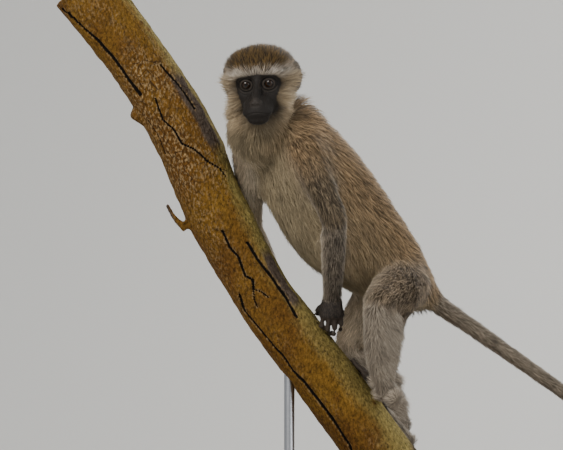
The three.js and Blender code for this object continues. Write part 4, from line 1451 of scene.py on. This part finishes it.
# The rim tone is the powdery band, partly painted rim light; plates, stub and knot keep the bark's own
# colours.
for name, tone in (("rim", POWDER_AND_RIM_LIGHT), ("plate", PLATE_GREY), ("stub", PLATE_GREY), ("knot", UMBER)):
    colour = mixed(make, colour, tone, attribute(make, name))
colour = speckled(make, grain, colour, 300, 0.75)
colour = mixed(make, colour, (0.045, 0.022, 0.010), specks)
colour = mixed(make, colour, (0.030, 0.016, 0.008), math_of("MULTIPLY", fine_net(85, 0.035), dusty_mask))
ragged_gap = math_of("MULTIPLY_ADD", flake_height, 1.6, attribute(make, "crack_gap"))
frayed = math_of("MULTIPLY", sharpened(make, ragged_gap, 3.4, 1.4), flakes)
colour = mixed(make, colour, DUSTY, frayed)
colour = mixed(make, colour, CRACK_BLACK, sharpened(make, ragged_gap, 1.35, 0.85))
rings = math_of("SINE", math_of("MULTIPLY", attribute(make, "reach"), 75.0))
cut_wood = mixed(make, (0.42, 0.29, 0.16), (0.30, 0.19, 0.10), sharpened(make, rings, -1, 1))
colour = mixed(make, colour, cut_wood, attribute(make, "end_cut"))
relief = math_of("MULTIPLY_ADD", fine_height, 0.45, flake_height)
fill(shader, {"Base Color": colour, "Normal": bump_of(make, relief, 0.75, 0.0032)})
branch.data.materials.clear()
branch.data.materials.append(bark)
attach(branch, "root")
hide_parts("branch")
print("bark material:", len(bark.node_tree.nodes), "nodes")

# %% [markdown]
# ## Eyes
# An eyeball is a sphere whose front bulges where the clear cornea lies over the iris. Its pole
# looks along the gaze, so the angle from that pole is all the pattern needs: black pupil,
# brown iris with a dark rim, and the dark white of a monkey's eye.

# %% Eyeballs
CORNEA_DEGREES = 36.0
CORNEA_BULGE = 0.055

eye_material, shader, make = start_material("eye", 0.16, 0.2)
off_axis = attribute(make, "off_axis")
streaks = make("TexNoise", {"Vector": object_place(make), "Scale": 900.0}).outputs["Fac"]
colour = mixed(make, (0.010, 0.005, 0.003), (0.036, 0.018, 0.008), streaks)
colour = mixed(make, colour, (0.010, 0.005, 0.003), sharpened(make, off_axis, 27, 34))
colour = mixed(make, (0.002, 0.002, 0.002), colour, sharpened(make, off_axis, 10.5, 12.5))
colour = mixed(make, colour, (0.022, 0.015, 0.011), sharpened(make, off_axis, 34, 40))
fill(shader, {"Base Color": colour, "Coat Weight": 0.28, "Coat Roughness": 0.02})
for side, place in (("left", EYE_SIDE), ("right", -EYE_SIDE)):
    eye_bm = bmesh.new()
    bmesh.ops.create_uvsphere(eye_bm, u_segments=48, v_segments=40, radius=EYE_RADIUS * MM)
    angles = []
    for v in eye_bm.verts:
        angle = math.degrees(v.co.angle(Vector((0, 0, 1))))
        angles.append(angle)
        rise = max(0.0, 1 - (angle / CORNEA_DEGREES) ** 2)
        v.co *= 1 + CORNEA_BULGE * rise
    turn = Vector(head_forward).to_track_quat("Z", "Y").to_matrix().to_4x4()
    bmesh.ops.transform(eye_bm, matrix=turn, verts=eye_bm.verts)
    bmesh.ops.translate(eye_bm, verts=eye_bm.verts, vec=from_head((0, place, 0)))
    eyeball = add_object("eyeball_" + side, eye_bm, eye_material)
    store(eyeball.data, "off_axis", angles)
    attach(eyeball, "root")
    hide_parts("eye_" + side)
print("eyes: 2")

# %% [markdown]
# ## Nails
# Every digit ends in a short dark nail. The tips are found on the solids: from the wrist or
# ankle the way over the surface is longest at the end of each digit.

# %% Find the tips of the digits
def surface_ways(mesh, start):
    """The way over the mesh's edges from the corners nearest to a point, for every corner."""
    bm = bmesh.new()
    bm.from_mesh(mesh)
    bmesh.ops.remove_doubles(bm, verts=bm.verts, dist=1e-6)
    bm.verts.ensure_lookup_table()
    spots = np.array([v.co for v in bm.verts])
    ends = np.array([[v.index for v in e.verts] for e in bm.edges])
    bm.free()
    steps = np.linalg.norm(spots[ends[:, 0]] - spots[ends[:, 1]], axis=1)
    ways = np.full(len(spots), 1e3)
    ways[np.linalg.norm(spots - start, axis=1).argsort()[:8]] = 0
    for _ in range(60):
        for a, b in (ends.T, ends.T[::-1]):
            np.minimum.at(ways, b, ways[a] + steps)
    return spots, ends, ways


def digit_tips(name, start):
    """Ends of the digits and the direction in which each points."""
    spots, ends, ways = surface_ways(nodes[name].data, start)
    best = ways.copy()
    for a, b in (ends.T, ends.T[::-1]):
        np.maximum.at(best, a, ways[b])
    peaks = np.flatnonzero((ways >= best - 1e-9) & (ways > 0.45 * ways.max()) & (ways < 1))
    found = []
    for i in peaks[np.argsort(-ways[peaks])]:
        if all(np.linalg.norm(spots[i] - t) > 6.5 * MM for t, _ in found):
            near = (np.linalg.norm(spots - spots[i], axis=1) < 12 * MM) & (ways < ways[i] - 4 * MM)
            if near.sum() > 3:
                found.append((spots[i], unit(spots[i] - spots[near].mean(0))))
    return found[:5]


# %% Nails on the tips
nail_material, shader, make = start_material("nail", 0.32, 0.5)
# The nails are lighter than the skin, partly the horn's own tone and partly a painted highlight.
horn_and_highlight = make("TexNoise", {"Vector": object_place(make), "Scale": 420.0}).outputs["Fac"]
fill(shader, {"Base Color": mixed(make, (0.050, 0.038, 0.030), (0.120, 0.098, 0.080), horn_and_highlight)})
NAIL = (5.6, 3.9, 1.6)  # length, width, thickness in millimetres
nails_bm = bmesh.new()
nail_count = 0
for name in ("hand_left", "hand_right", "foot_left", "foot_right"):
    kind, side = name.split("_")
    start = joints[("wrist_" if kind == "hand" else "ankle_") + side]
    for tip, heading in digit_tips(name, start):
        _, _, away = on_bark(tip[None])
        outward_way = unit(away[0])
        if name == "hand_left":
            outward_way = unit(tip - centre_of(name))
        dorsal = unit(outward_way - heading * (outward_way @ heading))
        across = np.cross(dorsal, heading)
        columns = np.array([heading, across, dorsal]).T * (np.array(NAIL) / 2 * MM)
        matrix = Matrix(columns.tolist()).to_4x4()
        matrix.translation = tip - heading * 3.0 * MM + dorsal * 2.2 * MM
        bmesh.ops.create_uvsphere(nails_bm, u_segments=14, v_segments=10, radius=1, matrix=matrix)
        nail_count += 1
nails = add_object("nails", nails_bm, nail_material)
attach(nails, "root")
print("nails:", nail_count)

# %% [markdown]
# ## The stand
# A flat wooden base and two steel rods with collars hold the branch. The solids have the right
# place and size but flat sides, so round rods and a plate with soft edges stand in for them.

# %% Base plate
wood, shader, make = start_material("stand_wood", 0.42, 0.45)
grain = object_place(make, (1.0, 14.0, 14.0))
fibres = make("TexNoise", {"Vector": grain, "Scale": 9.0, "Detail": 8.0, "Distortion": 0.4}).outputs["Fac"]
colour = mixed(make, (0.060, 0.030, 0.016), (0.150, 0.082, 0.044), sharpened(make, fibres, 0.35, 0.65))
colour = speckled(make, grain, colour, 60, 0.25)
fill(shader, {"Base Color": colour, "Normal": bump_of(make, fibres, 0.25, 0.0006)})

BASE_ROUND = 5 * MM
low, high = corners_of("stand_base")
plate_bm = bmesh.new()
bmesh.ops.create_cube(plate_bm, size=1)
bmesh.ops.scale(plate_bm, vec=(high - low).tolist(), verts=plate_bm.verts)
bmesh.ops.translate(plate_bm, vec=((high + low) / 2).tolist(), verts=plate_bm.verts)
soften(plate_bm, list(plate_bm.edges), BASE_ROUND, 6)
base_plate = add_object("base_plate", plate_bm, wood)
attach(base_plate, "root")
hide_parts("stand_base")
print("base:", (high - low).round(3))

# %% Rods and collars
steel, shader, make = start_material("stand_steel", 0.3, 0.5)
brushed = make("TexNoise", {"Vector": object_place(make, (1, 1, 60)), "Scale": 40.0}).outputs["Fac"]
colour = mixed(make, (0.46, 0.46, 0.47), (0.60, 0.60, 0.61), brushed)
gloss = make("MapRange", {"Value": brushed, "To Min": 0.24, "To Max": 0.42}).outputs["Result"]
fill(shader, {"Base Color": colour, "Roughness": gloss, "Metallic": 1.0})

ROD_SIDES = 48
for name in ("stand_rod_lower", "stand_rod_upper"):
    corner_points = points_of(nodes[name].data)
    low, high = corner_points.min(0), corner_points.max(0)
    middle_x = (low[0] + high[0]) / 2
    shaft = corner_points[corner_points[:, 2] > (low[2] + high[2]) / 2]
    shaft_radius = np.abs(shaft[:, 0] - middle_x).max()
    collar_radius = (high[0] - low[0]) / 2
    on_collar = np.abs(corner_points[:, 0] - middle_x) > shaft_radius * 1.3
    collar_top = corner_points[on_collar, 2].max()
    rod_bm = bmesh.new()
    profile = [(0, low[2]), (collar_radius, low[2]), (collar_radius - 3 * MM, collar_top),
               (shaft_radius, collar_top), (shaft_radius, high[2]), (0, high[2])]
    outline = [rod_bm.verts.new((middle_x + r, 0, z)) for r, z in profile]
    rim_edges = [rod_bm.edges.new(pair) for pair in zip(outline, outline[1:])]
    bmesh.ops.spin(
        rod_bm, geom=outline + rim_edges, cent=(middle_x, 0, 0), axis=(0, 0, 1), angle=math.tau,
        steps=ROD_SIDES, use_merge=True,
    )
    bmesh.ops.remove_doubles(rod_bm, verts=rod_bm.verts, dist=1e-6)
    bmesh.ops.recalc_face_normals(rod_bm, faces=rod_bm.faces)
    edge_ring = [e for e in rod_bm.edges if len(e.link_faces) == 2
                 and e.calc_face_angle(0) > math.radians(40)]
    soften(rod_bm, edge_ring, 0.8 * MM, 3)
    round_rod = add_object(name.replace("stand_", "round_"), rod_bm, steel)
    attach(round_rod, "root")
    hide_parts(name)
    print(round_rod.name, "shaft", round(shaft_radius / MM, 1), "collar", round(collar_radius / MM, 1))
